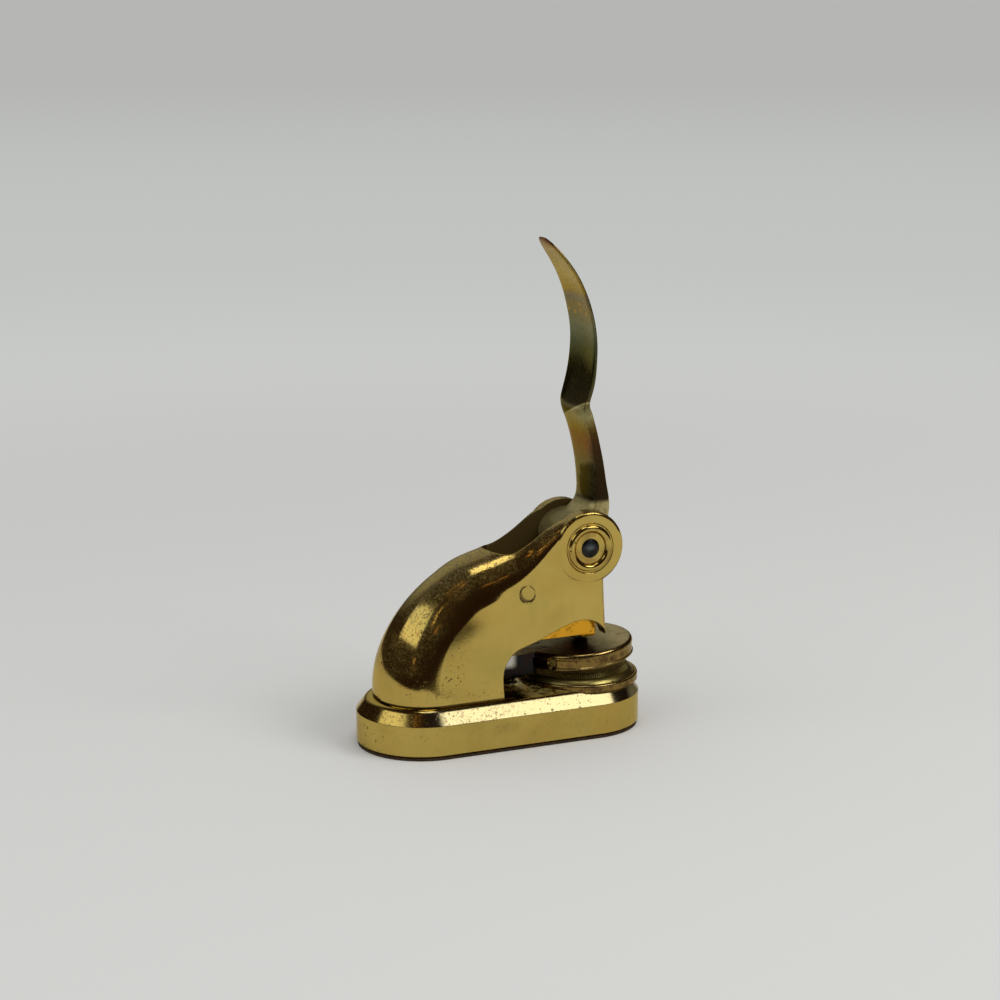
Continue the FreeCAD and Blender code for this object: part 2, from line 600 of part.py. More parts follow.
def arm_bar(low, high, end):
    """Bar with waisted sides between two heights, from the eye to the holder, rounded underneath."""
    near = [Vector(x, -half, low) for x, half in ARM_WAIST]
    corner = Vector(end, -ARM_WAIST[-1][1], low)
    far = mirrored(near)[::-1]
    ring = [near[-1], corner, mirrored([corner])[0], far[0]]
    edges = [spline_edge(near)] + [Part.LineSegment(a, b).toShape() for a, b in zip(ring, ring[1:])]
    edges += [spline_edge(far), Part.LineSegment(far[-1], near[0]).toShape()]
    bar = Part.Face(Part.Wire(edges)).extrude(Vector(0, 0, high - low))
    under = [e for e in bar.Edges if e.BoundBox.ZMax < low + 0.01 and e.BoundBox.XLength > 1]
    return bar.makeFillet(ARM_ROUND, under)


def make_arm():
    """Steel arm: eye on its pin, waisted bar stepped over the lower holder, tongue let into the upper one."""
    low = UPPER_TOP - ARM_DEPTH
    half = ARM_HALF_WIDTH
    rear = ARM_WAIST[0][0]
    eye = cylinder_y(ARM_PIN_X, ARM_PIN_Z, ARM_EYE_RADIUS, -half, half)
    root = block(ARM_PIN_X, rear + 0.5, ARM_WAIST[0][1], ARM_PIN_Z - ARM_EYE_RADIUS, UPPER_TOP)
    bar = arm_bar(low, UPPER_TOP, disc_rear() - SEAT_GAP)
    step = block(ARM_STEP_X, DIE_X, 2 * half, low - 1, UPPER_TOP - ARM_END_DEPTH)
    tongue = block(ARM_STEP_X, disc_rear() + TONGUE_LENGTH - SEAT_GAP, half, UPPER_TOP - TONGUE_THICKNESS,
                   UPPER_TOP)
    arm = eye.fuse(root).fuse(bar.cut(step)).fuse(tongue)
    arm = arm.cut(cylinder_y(ARM_PIN_X, ARM_PIN_Z, ARM_PIN_RADIUS + FIT, -half, half))
    heads = [cylinder_z(ARM_SCREW_X, side * ARM_SCREW_Y, ARM_SCREW_HEAD + FIT, UPPER_TOP - ARM_SCREW_SUNK,
                        UPPER_TOP + 1) for side in (1, -1)]
    holes = [cylinder_z(ARM_SCREW_X, side * ARM_SCREW_Y, ARM_SCREW_RADIUS + FIT, low, UPPER_TOP)
             for side in (1, -1)]
    return tipped(arm.cut(heads + holes))


def make_arm_pin():
    return cylinder_y(ARM_PIN_X, ARM_PIN_Z, ARM_PIN_RADIUS, -ARM_PIN_NEAR, ARM_PIN_FAR)


def make_upper_holder():
    """Round holder: rolled top edge, waisted rim with a lower lip, die recess, slot for the tongue."""
    r = UPPER_RADIUS
    roll = UPPER_ROLL
    waist = r - UPPER_WAIST
    seat = UPPER_DIE_RADIUS + FIT
    recess = upper_die_bottom() + UPPER_DIE_THICKNESS + SEAT_GAP
    bottom = UPPER_BOTTOM
    inner = [(waist, bottom + UPPER_LIP + UPPER_WAIST), (r, bottom + UPPER_LIP),
             (r, bottom + UPPER_FOOT_EDGE), (r - UPPER_FOOT_EDGE, bottom), (seat, bottom),
             (seat, recess), (0, recess), (0, UPPER_TOP), (r - roll, UPPER_TOP)]
    chain = [point(x, z) for x, z in inner]
    edges = [Part.LineSegment(a, b).toShape() for a, b in zip(chain, chain[1:])]
    shoulder = point(r - roll + roll * math.sin(math.radians(60)), UPPER_TOP - roll + roll * 0.5)
    tuck = point(waist, UPPER_TOP - roll - roll * math.sin(math.acos((roll - UPPER_WAIST) / roll)))
    edges.append(Part.Arc(chain[-1], shoulder, tuck).toShape())
    edges.append(Part.LineSegment(tuck, chain[0]).toShape())
    holder = spin_z(edges, DIE_X)
    slot = block(disc_rear() - 1, disc_rear() + TONGUE_LENGTH, ARM_HALF_WIDTH + SEAT_GAP,
                 UPPER_TOP - TONGUE_THICKNESS - SEAT_GAP, UPPER_TOP + 1)
    cuts = [slot]
    for y in (ARM_SCREW_Y, -ARM_SCREW_Y):
        cuts.append(cylinder_z(ARM_SCREW_X, y, ARM_SCREW_RADIUS + FIT, UPPER_BOTTOM, UPPER_TOP))
    cuts.append(radial_cylinder(HOLE_RADIUS + FIT, UPPER_DIE_RADIUS - 1, UPPER_RADIUS + 1))
    cuts.append(dimple())
    return tipped(holder.cut(cuts))


def radial_cylinder(radius, near, far):
    """Level cylinder along the holder's radius at the set screw."""
    turn = math.radians(HOLE_ANGLE)
    along = Vector(math.cos(turn), math.sin(turn), 0)
    start = Vector(DIE_X, 0, HOLE_Z) + along * near
    return Part.makeCylinder(radius, far - near, start, along)


def dimple():
    """Conical countersink round the set screw's hole."""
    turn = math.radians(HOLE_ANGLE)
    along = Vector(math.cos(turn), math.sin(turn), 0)
    floor = UPPER_RADIUS - UPPER_WAIST - DIMPLE_DEPTH
    start = Vector(DIE_X, 0, HOLE_Z) + along * floor
    slope = (DIMPLE_RADIUS - HOLE_RADIUS) / DIMPLE_DEPTH
    return Part.makeCone(HOLE_RADIUS, HOLE_RADIUS + slope * 2 * DIMPLE_DEPTH, 2 * DIMPLE_DEPTH, start, along)


def make_set_screw():
    """Grub screw with a socket, sunk to the floor of its countersink."""
    end = UPPER_RADIUS - UPPER_WAIST - DIMPLE_DEPTH
    screw = radial_cylinder(HOLE_RADIUS, UPPER_DIE_RADIUS + 2 * FIT, end)
    socket = radial_cylinder(HOLE_RADIUS * 0.5, end - 0.4, UPPER_RADIUS)
    return tipped(screw.cut(socket))


def make_holder_screws():
    screws = []
    head_top = UPPER_TOP - ARM_SCREW_BELOW
    slot_floor = head_top - DRIVER_SLOT_DEPTH
    half = DRIVER_SLOT_WIDTH / 2
    reach = ARM_SCREW_HEAD + 0.5
    for y in (ARM_SCREW_Y, -ARM_SCREW_Y):
        floor = upper_die_bottom() + UPPER_DIE_THICKNESS + 2 * SEAT_GAP
        head = cylinder_z(ARM_SCREW_X, y, ARM_SCREW_HEAD, UPPER_TOP - ARM_SCREW_SUNK + SEAT_GAP, head_top)
        shank = cylinder_z(ARM_SCREW_X, y, ARM_SCREW_RADIUS, floor, slot_floor + ARM_SCREW_BELOW)
        slot = block(ARM_SCREW_X - reach, ARM_SCREW_X + reach, half, slot_floor, UPPER_TOP)
        slot.translate(Vector(0, y, 0))
        screws.append(head.fuse(shank).cut(slot))
    return tipped(Part.makeCompound(screws))


def upper_die_bottom():
    return COUNTER_TOP + DIE_GAP


def make_upper_die():
    """Round die with a shallow groove just inside its edge."""
    low = upper_die_bottom()
    top = low + UPPER_DIE_THICKNESS
    r = UPPER_DIE_RADIUS
    outer = r - DIE_GROOVE_INSET
    inner = outer - DIE_GROOVE_WIDTH
    deep = DIE_GROOVE_DEPTH
    edge = UPPER_DIE_EDGE
    half = [(0, low), (inner, low), (inner + deep, low + deep), (outer - deep, low + deep), (outer, low),
            (r - edge, low), (r, low + edge), (r, top), (0, top)]
    return tipped(spin_z(lines([point(x, z) for x, z in half]), DIE_X))


# ---------------------------------------------------------------- lower die
def make_lower_holder():
    """Round dish with a rolled rim, let into the base."""
    r = LOWER_RADIUS
    seat = COUNTER_RADIUS + FIT
    floor = COUNTER_FLOOR_Z - SEAT_GAP
    crown = (r - seat) / 2
    shoulder = LOWER_RIM_TOP - crown
    a, b = point(r, shoulder), point(seat, shoulder)
    chain = [b, point(seat, floor), point(0, floor), point(0, LOWER_SEAT_Z), point(r, LOWER_SEAT_Z), a]
    edges = [Part.LineSegment(p, q).toShape() for p, q in zip(chain, chain[1:])]
    edges.append(Part.Arc(a, point(seat + crown, LOWER_RIM_TOP), b).toShape())
    holder = spin_z(edges, DIE_X)
    holes = [cylinder_z(DIE_X + side * HOLDER_SCREW_SPREAD, 0, HOLDER_SCREW_RADIUS + FIT, BASE_TOP - 2,
                        COUNTER_TOP) for side in (1, -1)]
    return holder.cut(holes)


def fluted_ring(radius, z):
    """Closed zigzag ring; its inner corners are the bottoms of the flutes."""
    ring = []
    for i in range(2 * FLUTES):
        turn = math.pi * i / FLUTES
        reach = radius - (FLUTE_DEPTH if i % 2 else 0.0)
        ring.append(Vector(reach * math.cos(turn), reach * math.sin(turn), z))
    return Part.makePolygon(ring + ring[:1])


def make_counter_die():
    """Counter die: raised face, short fluted border, plain sloping edge."""
    low = COUNTER_FLOOR_Z
    r = COUNTER_RADIUS
    foot = COUNTER_TOP - FLUTED_FALL
    root = COUNTER_FACE_RADIUS + FLUTED_RUN
    crest = point((root + r) / 2 + COUNTER_BULGE, (foot + COUNTER_EDGE_Z) / 2 + COUNTER_BULGE)
    rows = [(root, foot), (0, foot), (0, low), (r, low), (r, COUNTER_EDGE_Z)]
    chain = [point(x, z) for x, z in rows]
    edges = [Part.LineSegment(a, b).toShape() for a, b in zip(chain, chain[1:])]
    edges.append(Part.Arc(chain[-1], crest, chain[0]).toShape())
    die = spin_z(edges, 0)
    border = Part.makeLoft([fluted_ring(root, foot), fluted_ring(COUNTER_FACE_RADIUS, COUNTER_TOP)],
                           True, True)
    die = die.fuse(border)
    holes = [cylinder_z(side * HOLDER_SCREW_SPREAD, 0, HOLDER_SCREW_RADIUS + FIT, low - 1,
                        COUNTER_TOP - 1.0) for side in (1, -1)]
    die = die.cut(holes)
    die.translate(Vector(DIE_X, 0, 0))
    return die


# ---------------------------------------------------------------- spring and base screws
def spring_top():
    tilt = math.radians(REST_TILT)
    reach = SPRING_X - ARM_PIN_X - SPRING_RADIUS
    drop = ARM_PIN_Z - (UPPER_TOP - ARM_DEPTH)
    return ARM_PIN_Z - drop / math.cos(tilt) + reach * math.tan(tilt) - CAM_GAP


def make_arm_spring():
    """Compression spring from the base pocket up to the arm."""
    low = BASE_TOP - SPRING_POCKET_DEPTH + SEAT_GAP + SPRING_WIRE / 2
    high = spring_top() - SPRING_WIRE / 2
    pitch = (high - low) / SPRING_TURNS
    helix = Part.makeHelix(pitch, high - low, SPRING_RADIUS)
    start = Vector(SPRING_RADIUS, 0, 0)
    heading = Vector(0, 2 * math.pi * SPRING_RADIUS, pitch)
    circle = Part.Wire([Part.Circle(start, heading, SPRING_WIRE / 2).toShape()])
    coil = Part.Wire(helix.Edges).makePipeShell([circle], True, True)
    coil.translate(Vector(SPRING_X, 0, low))
    return coil


def cap_screw(x, y, radius, head_radius, top):
    """Cap head screw standing head down, with a hex socket."""
    low = PAD_THICKNESS + SEAT_GAP
    shoulder = PAD_THICKNESS + SCREW_HEAD_DEPTH - SEAT_GAP
    head = cylinder_z(x, y, head_radius, low, shoulder)
    shank = cylinder_z(x, y, radius, shoulder - 1, top)
    ring = [Vector(x + radius * 0.8 * math.cos(math.radians(a)), y + radius * 0.8 * math.sin(math.radians(a)),
                   low) for a in range(0, 360, 60)]
    socket = polygon_face(ring).extrude(Vector(0, 0, SCREW_HEAD_DEPTH / 2))
    return head.fuse(shank).cut(socket)


def make_body_screws():
    screws = [cap_screw(x, y, BODY_SCREW_RADIUS, BODY_SCREW_HEAD, BODY_SCREW_TOP) for x, y in BODY_SCREWS]
    return Part.makeCompound(screws)


def make_lower_screws():
    screws = []
    for side in (1, -1):
        x = DIE_X + side * HOLDER_SCREW_SPREAD
        screws.append(cap_screw(x, 0, HOLDER_SCREW_RADIUS, HOLDER_SCREW_HEAD, COUNTER_TOP - 1.0 - SEAT_GAP))
    return Part.makeCompound(screws)


# ---------------------------------------------------------------- write
PARTS = {
    "base": make_base, "base_pad": make_pad, "body": make_body, "body_screws": make_body_screws,
    "lever": make_lever, "lever_pin": make_lever_pin, "near_bush": lambda: make_bush(-1),
    "far_bush": lambda: make_bush(1), "ram": make_ram, "cam_plate": make_cam_plate,
    "ram_guide_pin": make_guide_pin, "pressure_screw": make_pressure_screw, "die_arm": make_arm,
    "arm_pin": make_arm_pin, "arm_spring": make_arm_spring, "upper_holder": make_upper_holder,
    "upper_holder_screws": make_holder_screws, "upper_die": make_upper_die,
    "die_set_screw": make_set_screw, "lower_holder": make_lower_holder,
    "lower_holder_screws": make_lower_screws, "counter_die": make_counter_die,
}


def main():
    os.makedirs("parts", exist_ok=True)
    for name, make in PARTS.items():
        shape = make()
        if shape.ShapeType == "Compound" and len(shape.Solids) == 1:
            shape = shape.Solids[0]
        box = shape.BoundBox
        print(name, shape.isValid(), shape.ShapeType, len(shape.Solids), round(shape.Volume, 1),
              [round(v, 2) for v in (box.XMin, box.XMax, box.YMin, box.YMax, box.ZMin, box.ZMax)])
        shape.exportStep("parts/" + name + ".step")


main()
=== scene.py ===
"""Desk seal embosser in tarnished brass plate: three new pieces, finishes, floor, lamps and camera."""

import math

import bpy
import numpy as np
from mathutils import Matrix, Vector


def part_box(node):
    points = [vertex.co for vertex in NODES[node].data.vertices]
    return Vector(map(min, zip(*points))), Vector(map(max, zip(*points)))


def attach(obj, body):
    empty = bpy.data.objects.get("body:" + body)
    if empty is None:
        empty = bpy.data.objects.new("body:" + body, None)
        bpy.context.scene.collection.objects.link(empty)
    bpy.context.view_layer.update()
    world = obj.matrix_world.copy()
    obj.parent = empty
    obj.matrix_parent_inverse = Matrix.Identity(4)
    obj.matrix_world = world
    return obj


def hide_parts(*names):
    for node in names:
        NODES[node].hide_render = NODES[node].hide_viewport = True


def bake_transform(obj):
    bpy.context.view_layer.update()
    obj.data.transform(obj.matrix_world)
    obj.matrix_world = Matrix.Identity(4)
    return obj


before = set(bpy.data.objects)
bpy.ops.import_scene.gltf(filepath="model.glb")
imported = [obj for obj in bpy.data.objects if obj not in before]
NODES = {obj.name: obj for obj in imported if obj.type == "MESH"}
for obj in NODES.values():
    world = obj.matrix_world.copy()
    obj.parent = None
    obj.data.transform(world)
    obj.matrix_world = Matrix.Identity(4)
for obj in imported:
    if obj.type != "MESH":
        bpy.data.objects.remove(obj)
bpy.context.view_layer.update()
MM = 0.001


def mm(*values):
    """Millimetres as metres."""
    return tuple(value * MM for value in values)


def rgb(red, green, blue):
    """A display colour, 0 to 255, as linear red, green, blue, 1."""
    def linear(v):
        v /= 255.0
        return v / 12.92 if v <= 0.04045 else ((v + 0.055) / 1.055) ** 2.4
    return (linear(red), linear(green), linear(blue), 1.0)


def add_object(name, data):
    """A new object of the scene, at the origin."""
    made = bpy.data.objects.new(name, data)
    bpy.context.scene.collection.objects.link(made)
    return made


# ---------------------------------------------------------------- camera
CAMERA_SPOT = (-0.33017, -0.75842, 0.27498)
CAMERA_AIM = (0.00036, 0.0, 0.0865)
CAMERA_LENS, SENSOR_WIDTH = 85.0, 36.0
CLIP_NEAR, CLIP_FAR = 0.01, 200.0


def turn_to(spot, aim):
    """Rotation that points a camera or lamp at spot towards aim, with its own x axis level."""
    dx, dy, dz = (a - b for a, b in zip(aim, spot))
    return (math.pi / 2 + math.atan2(dz, math.hypot(dx, dy)), 0.0, math.atan2(-dx, dy))


def make_camera():
    """The scene's camera, on CAMERA_SPOT and turned towards CAMERA_AIM."""
    data = bpy.data.cameras.new("camera")
    data.lens = CAMERA_LENS
    data.sensor_width = SENSOR_WIDTH
    data.clip_start = CLIP_NEAR
    data.clip_end = CLIP_FAR
    camera = add_object("camera", data)
    camera.location = CAMERA_SPOT
    camera.rotation_euler = turn_to(CAMERA_SPOT, CAMERA_AIM)
    bpy.context.scene.camera = camera


# ---------------------------------------------------------------- casting
FAN_CENTRE = np.array(mm(-5.7, 18.0))       # X and Z of the centre that the hump turns round
HUMP_FALL = 2.9 * MM                        # how far the hump's back lies inside the solid at most
HUMP_FALL_ANGLE = 115.0                     # from +X, where it lies lowest
HUMP_FALL_WIDTHS = (15.0, 26.0)             # spread of the fall towards the saddle and towards the foot
HUMP_DEPTHS = mm(24, 42)                    # radii between which the fall sets in
SLOPE_STEP = 0.01 * MM                      # half the difference that the slopes are taken over


def hump_fall(points):
    """How far each point moves: towards the fan's centre by a bell over the angle round it, times a smooth
    step over the radius, so the throat and the bores near the centre stay where they are."""
    out = points[:, (0, 2)] - FAN_CENTRE
    radius = np.hypot(out[:, 0], out[:, 1])
    angle = np.degrees(np.arctan2(out[:, 1], out[:, 0])) - HUMP_FALL_ANGLE
    bell = np.exp(-(angle / np.where(angle < 0.0, *HUMP_FALL_WIDTHS)) ** 2)
    step = np.clip((radius - HUMP_DEPTHS[0]) / (HUMP_DEPTHS[1] - HUMP_DEPTHS[0]), 0.0, 1.0)
    reach = HUMP_FALL * bell * step * step * (3.0 - 2.0 * step) / np.maximum(radius, MM)
    return np.stack((-reach * out[:, 0], np.zeros(len(points)), -reach * out[:, 1]), axis=1)


def slim_casting():
    """The casting with its hump's back let down; each normal follows by the inverse transpose of the
    movement's slopes, taken by small differences."""
    mesh = NODES["body"].data.copy()
    points = np.empty(3 * len(mesh.vertices))
    mesh.vertices.foreach_get("co", points)
    points = points.reshape(-1, 3)
    corner = np.empty(len(mesh.loops), dtype=np.int32)
    mesh.loops.foreach_get("vertex_index", corner)
    normals = np.empty(3 * len(mesh.loops))
    mesh.corner_normals.foreach_get("vector", normals)
    normals = normals.reshape(-1, 3)
    steps = SLOPE_STEP * np.eye(3)
    slopes = [(hump_fall(points + step) - hump_fall(points - step)) / (2 * SLOPE_STEP) for step in steps]
    jacobian = np.eye(3) + np.stack(slopes, axis=2)
    turned = np.einsum("nji,nj->ni", np.linalg.inv(jacobian)[corner], normals)
    turned /= np.linalg.norm(turned, axis=1)[:, None]
    mesh.vertices.foreach_set("co", (points + hump_fall(points)).ravel())
    mesh.normals_split_custom_set(turned)
    mesh.update()
    mesh.materials.clear()
    casting = add_object("casting", mesh)
    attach(casting, "frame")
    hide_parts("body")
    return casting


# ---------------------------------------------------------------- counter die and arm spring
DIE_LOW, DIE_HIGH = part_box("counter_die")
DIE_X = (DIE_LOW[0] + DIE_HIGH[0]) / 2
DIE_RADIUS = DIE_HIGH[1]
DIE_FOOT, DIE_TOP = DIE_LOW[2], DIE_HIGH[2]
DIE_RIM = DIE_FOOT + 1.2 * MM               # top of the upright rim
BULGE = 0.15 * MM                           # of the slope between the rim and the border
FACE_RADIUS = 18.0 * MM
FACE_MARGIN = 0.8 * MM                      # ring of faces round the flat face, which keeps its shading level
FLUTE_RUN, FLUTE_FALL, FLUTE_DEEP = mm(0.9, 1.6, 0.4)
FLUTES, STEPS_EACH = 144, 6
SLOPE_ROWS = 8
HOLLOW_RADIUS, HOLLOW_ROOF = 12.0 * MM, DIE_TOP - 1.0 * MM
CREASE = math.radians(35.0)                 # edges that turn by more stay sharp

WIRE = 0.8 * MM
COIL_TURNS, COIL_STEPS, WIRE_SIDES = 6, 48, 10


def band_faces(rings, around):
    """Four-sided faces between each closed ring of points and the next; they point outwards where the rings
    turn anticlockwise about the way in which they advance."""
    first = np.arange(rings - 1)[:, None] * around + np.arange(around)
    after = np.arange(rings - 1)[:, None] * around + (np.arange(around) + 1) % around
    return np.stack((first, after, after + around, first + around), axis=2).reshape(-1, 4)


def smooth_mesh(name, points, faces, crease=None):
    """A mesh with smooth shading, but sharp where an edge turns by more than the crease angle, if given."""
    mesh = bpy.data.meshes.new(name)
    mesh.from_pydata(points, [], faces)
    mesh.polygons.foreach_set("use_smooth", np.ones(len(mesh.polygons), dtype=bool))
    if crease:
        mesh.set_sharp_from_angle(angle=crease)
    mesh.update()
    return mesh


def fluted_die():
    """Counter die with fine flutes, a surface of revolution: rows of radius, height and share of the flutes
    run from the hollow underneath, over the rim and the bulging slope, and up the border to the face. On the
    border the radius loses FLUTE_DEEP times half of one minus the cosine of FLUTES times the angle."""
    root, foot = FACE_RADIUS + FLUTE_RUN, DIE_TOP - FLUTE_FALL
    slope = np.linspace(0.0, 1.0, SLOPE_ROWS)[:, None]
    rim, border = np.array((DIE_RADIUS, DIE_RIM, 0.0)), np.array((root, foot, 0.0))
    bulging = rim + slope * (border - rim) + BULGE * np.sin(math.pi * slope) * (1.0, 1.0, 0.0)
    under = [(HOLLOW_RADIUS, HOLLOW_ROOF, 0.0), (HOLLOW_RADIUS, DIE_FOOT, 0.0), (DIE_RADIUS, DIE_FOOT, 0.0)]
    over = [(root, foot, 1.0), (FACE_RADIUS, DIE_TOP, 1.0), (FACE_RADIUS, DIE_TOP, 0.0),
            (FACE_RADIUS - FACE_MARGIN, DIE_TOP, 0.0)]
    radius, height, cut = np.concatenate((under, bulging, over)).T[:, :, None]
    count = FLUTES * STEPS_EACH
    turn = np.arange(count) * 2.0 * math.pi / count
    wave = FLUTE_DEEP * 0.5 * (1.0 - np.cos(FLUTES * turn))
    reach = radius - cut * wave
    ring = np.stack((DIE_X + reach * np.cos(turn), reach * np.sin(turn), height + 0.0 * reach), axis=2)
    points = ring.reshape(-1, 3).tolist() + [(DIE_X, 0.0, HOLLOW_ROOF), (DIE_X, 0.0, DIE_TOP)]
    faces = band_faces(len(ring), count).tolist()
    here, after, last = np.arange(count), (np.arange(count) + 1) % count, (len(ring) - 1) * count
    roof, crown = np.full(count, len(points) - 2), np.full(count, len(points) - 1)
    faces += np.stack((after, here, roof), axis=1).tolist()
    faces += np.stack((last + here, last + after, crown), axis=1).tolist()
    die = add_object("fluted_die", smooth_mesh("fluted_die", points, faces, CREASE))
    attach(die, "frame")
    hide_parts("counter_die")
    return die


def coil_spring():
    """Helix of round wire between the frame and the arm. Each ring of the wire stands on the helix's own
    tangent and two normals."""
    low, high = (np.array(corner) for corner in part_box("arm_spring"))
    middle = (low + high) / 2
    radius = (high[1] - low[1] - WIRE) / 2
    foot, top = low[2] + WIRE / 2, high[2] - WIRE / 2
    count = COIL_TURNS * COIL_STEPS + 1
    turn = np.linspace(0.0, 2 * math.pi * COIL_TURNS, count)
    height = np.linspace(foot, top, count)
    outward = np.stack((np.cos(turn), np.sin(turn), 0 * turn), axis=1)
    spine = np.stack((middle[0] + 0 * turn, middle[1] + 0 * turn, height), axis=1) + radius * outward
    along = np.gradient(spine, axis=0)
    along /= np.linalg.norm(along, axis=1)[:, None]
    across = np.cross(along, outward)
    side = np.arange(WIRE_SIDES) * 2 * math.pi / WIRE_SIDES
    ring = outward[:, None] * np.cos(side)[:, None] + across[:, None] * np.sin(side)[:, None]
    points = (spine[:, None] + WIRE / 2 * ring).reshape(-1, 3).tolist()
    faces = band_faces(count, WIRE_SIDES).tolist()
    faces += [list(reversed(range(WIRE_SIDES))), list(range(len(points) - WIRE_SIDES, len(points)))]
    coil = add_object("coil_spring", smooth_mesh("coil_spring", points, faces))
    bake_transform(coil)
    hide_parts("arm_spring")
    return coil


# ---------------------------------------------------------------- node helpers
class Tree:
    """A short way to add and join shader nodes."""

    def __init__(self, tree):
        self.tree = tree

    def node(self, kind, inputs=None, **settings):
        """A new node with its settings made and each input joined to a socket or set to a value."""
        made = self.tree.nodes.new(kind)
        for key, value in settings.items():
            setattr(made, key, value)
        for key, value in (inputs or {}).items():
            if isinstance(value, bpy.types.NodeSocket):
                self.tree.links.new(value, made.inputs[key])
            else:
                made.inputs[key].default_value = value
        return made

    def math(self, operation, a, b=0.0, clamp=False):
        return self.node("ShaderNodeMath", {0: a, 1: b}, operation=operation, use_clamp=clamp).outputs[0]

    def chain(self, operation, values):
        """The operation on the first two values, then on that and each next value."""
        result = values[0]
        for value in values[1:]:
            result = self.math(operation, result, value)
        return result

    def times(self, *values):
        return self.chain("MULTIPLY", values)

    def plus(self, *values):
        return self.chain("ADD", values)

    def largest(self, *values):
        return self.chain("MAXIMUM", values)

    def between(self, mask, start, end):
        """Number that goes from start to end as the mask goes from 0 to 1."""
        return self.plus(start, self.times(end - start, mask))

    def vector(self, operation, a, b=(0.0, 0.0, 0.0)):
        """Vector that a step of vector arithmetic gives."""
        return self.node("ShaderNodeVectorMath", {0: a, 1: b}, operation=operation).outputs[0]

    def measure(self, operation, a, b=(0.0, 0.0, 0.0)):
        """Number that a step of vector arithmetic gives, such as a length or a dot product."""
        return self.node("ShaderNodeVectorMath", {0: a, 1: b}, operation=operation).outputs[1]

    def parts(self, vector):
        """The X, Y and Z of a vector."""
        return self.node("ShaderNodeSeparateXYZ", {0: vector}).outputs

    def noise(self, vector, scale, detail, roughness=0.5):
        """Fractal noise round 0.5."""
        return self.node("ShaderNodeTexNoise", {"Vector": vector, "Scale": scale, "Detail": detail,
                                                "Roughness": roughness}).outputs[0]

    def mix(self, factor, a, b):
        """Colour a where the factor is 0, b where it is 1."""
        return self.node("ShaderNodeMix", {0: factor, 6: a, 7: b}, data_type="RGBA", blend_type="MIX",
                         clamp_factor=True).outputs[2]

    def span(self, value, low, high):
        """Smooth step of value, 0 at low and 1 at high."""
        return self.node("ShaderNodeMapRange", {0: value, 1: low, 2: high, 3: 0.0, 4: 1.0},
                         interpolation_type="SMOOTHSTEP", clamp=True).outputs[0]

    def ramp(self, value, stops):
        """Colour of value between the stops, each a place from 0 to 1 and a colour."""
        made = self.node("ShaderNodeValToRGB", {0: value})
        elements = made.color_ramp.elements
        elements[0].position, elements[0].color = stops[0]
        elements[1].position, elements[1].color = stops[-1]
        for position, colour in stops[1:-1]:
            elements.new(position).color = colour
        return made.outputs[0]


# ---------------------------------------------------------------- shared effects
FLOAT, VECTOR = "NodeSocketFloat", "NodeSocketVector"
ORIGIN = (0.0, 0.0, 0.0)
CLOUD_ROUGHNESS = 0.6
TEAR_SCALE, TEAR_REACH = 2600.0, (0.4 * MM,) * 3        # fineness and reach of the tears in a speck's edge
RAGGED_SCALE = 260.0
LINE_SCALE, LINE_STRETCH = 900.0, (1.0, 1.0, 8.0)       # polishing lines lie level
RIPPLE_SCALE, GRAIN_SCALE = 110.0, 2600.0
FINE_DEPTH, RIPPLE_DEPTH = mm(0.1, 1.0)


class Group(Tree):
    """A shared effect: a node group with named inputs, each with its usual value, and one output."""

    def __init__(self, name, inputs, output, kind=FLOAT):
        super().__init__(bpy.data.node_groups.new(name, "ShaderNodeTree"))
        for label, value in inputs.items():
            given_kind = VECTOR if isinstance(value, tuple) else FLOAT
            socket = self.tree.interface.new_socket(name=label, in_out="INPUT", socket_type=given_kind)
            socket.default_value = value
        self.tree.interface.new_socket(name=output, in_out="OUTPUT", socket_type=kind)
        self.given = self.node("NodeGroupInput").outputs
        self.result = self.node("NodeGroupOutput").inputs

    def done(self, value):
        """Joins value to the output and returns the finished group."""
        self.tree.links.new(value, self.result[0])
        return self.tree


def make_cloud_group():
    """Mask of soft patches: fractal noise stepped between two levels."""
    g = Group("cloud", {"Vector": ORIGIN, "Scale": 60.0, "Detail": 4.0, "Low": 0.45, "High": 0.6}, "Mask")
    noise = g.noise(g.given["Vector"], g.given["Scale"], g.given["Detail"], CLOUD_ROUGHNESS)
    return g.done(g.span(noise, g.given["Low"], g.given["High"]))


def make_speck_group():
    """Mask of ragged specks, one to a cell: a cell shows where its first random number is under Share, and
    its second makes the speck wider."""
    g = Group("speck", {"Vector": ORIGIN, "Scale": 900.0, "Size": 0.35, "Share": 0.3}, "Mask")
    tear = g.node("ShaderNodeTexNoise", {"Vector": g.given["Vector"], "Scale": TEAR_SCALE, "Detail": 1.0})
    torn = g.vector("ADD", g.given["Vector"], g.vector("MULTIPLY", tear.outputs["Color"], TEAR_REACH))
    cells = g.node("ShaderNodeTexVoronoi", {"Vector": torn, "Scale": g.given["Scale"]}).outputs
    chance = g.node("ShaderNodeSeparateColor", {0: cells["Color"]}).outputs
    chosen = g.math("LESS_THAN", chance[0], g.given["Share"])
    wide = g.times(g.given["Size"], g.plus(chance[1], 0.3))
    return g.done(g.times(chosen, g.span(cells["Distance"], wide, g.times(wide, 0.4))))


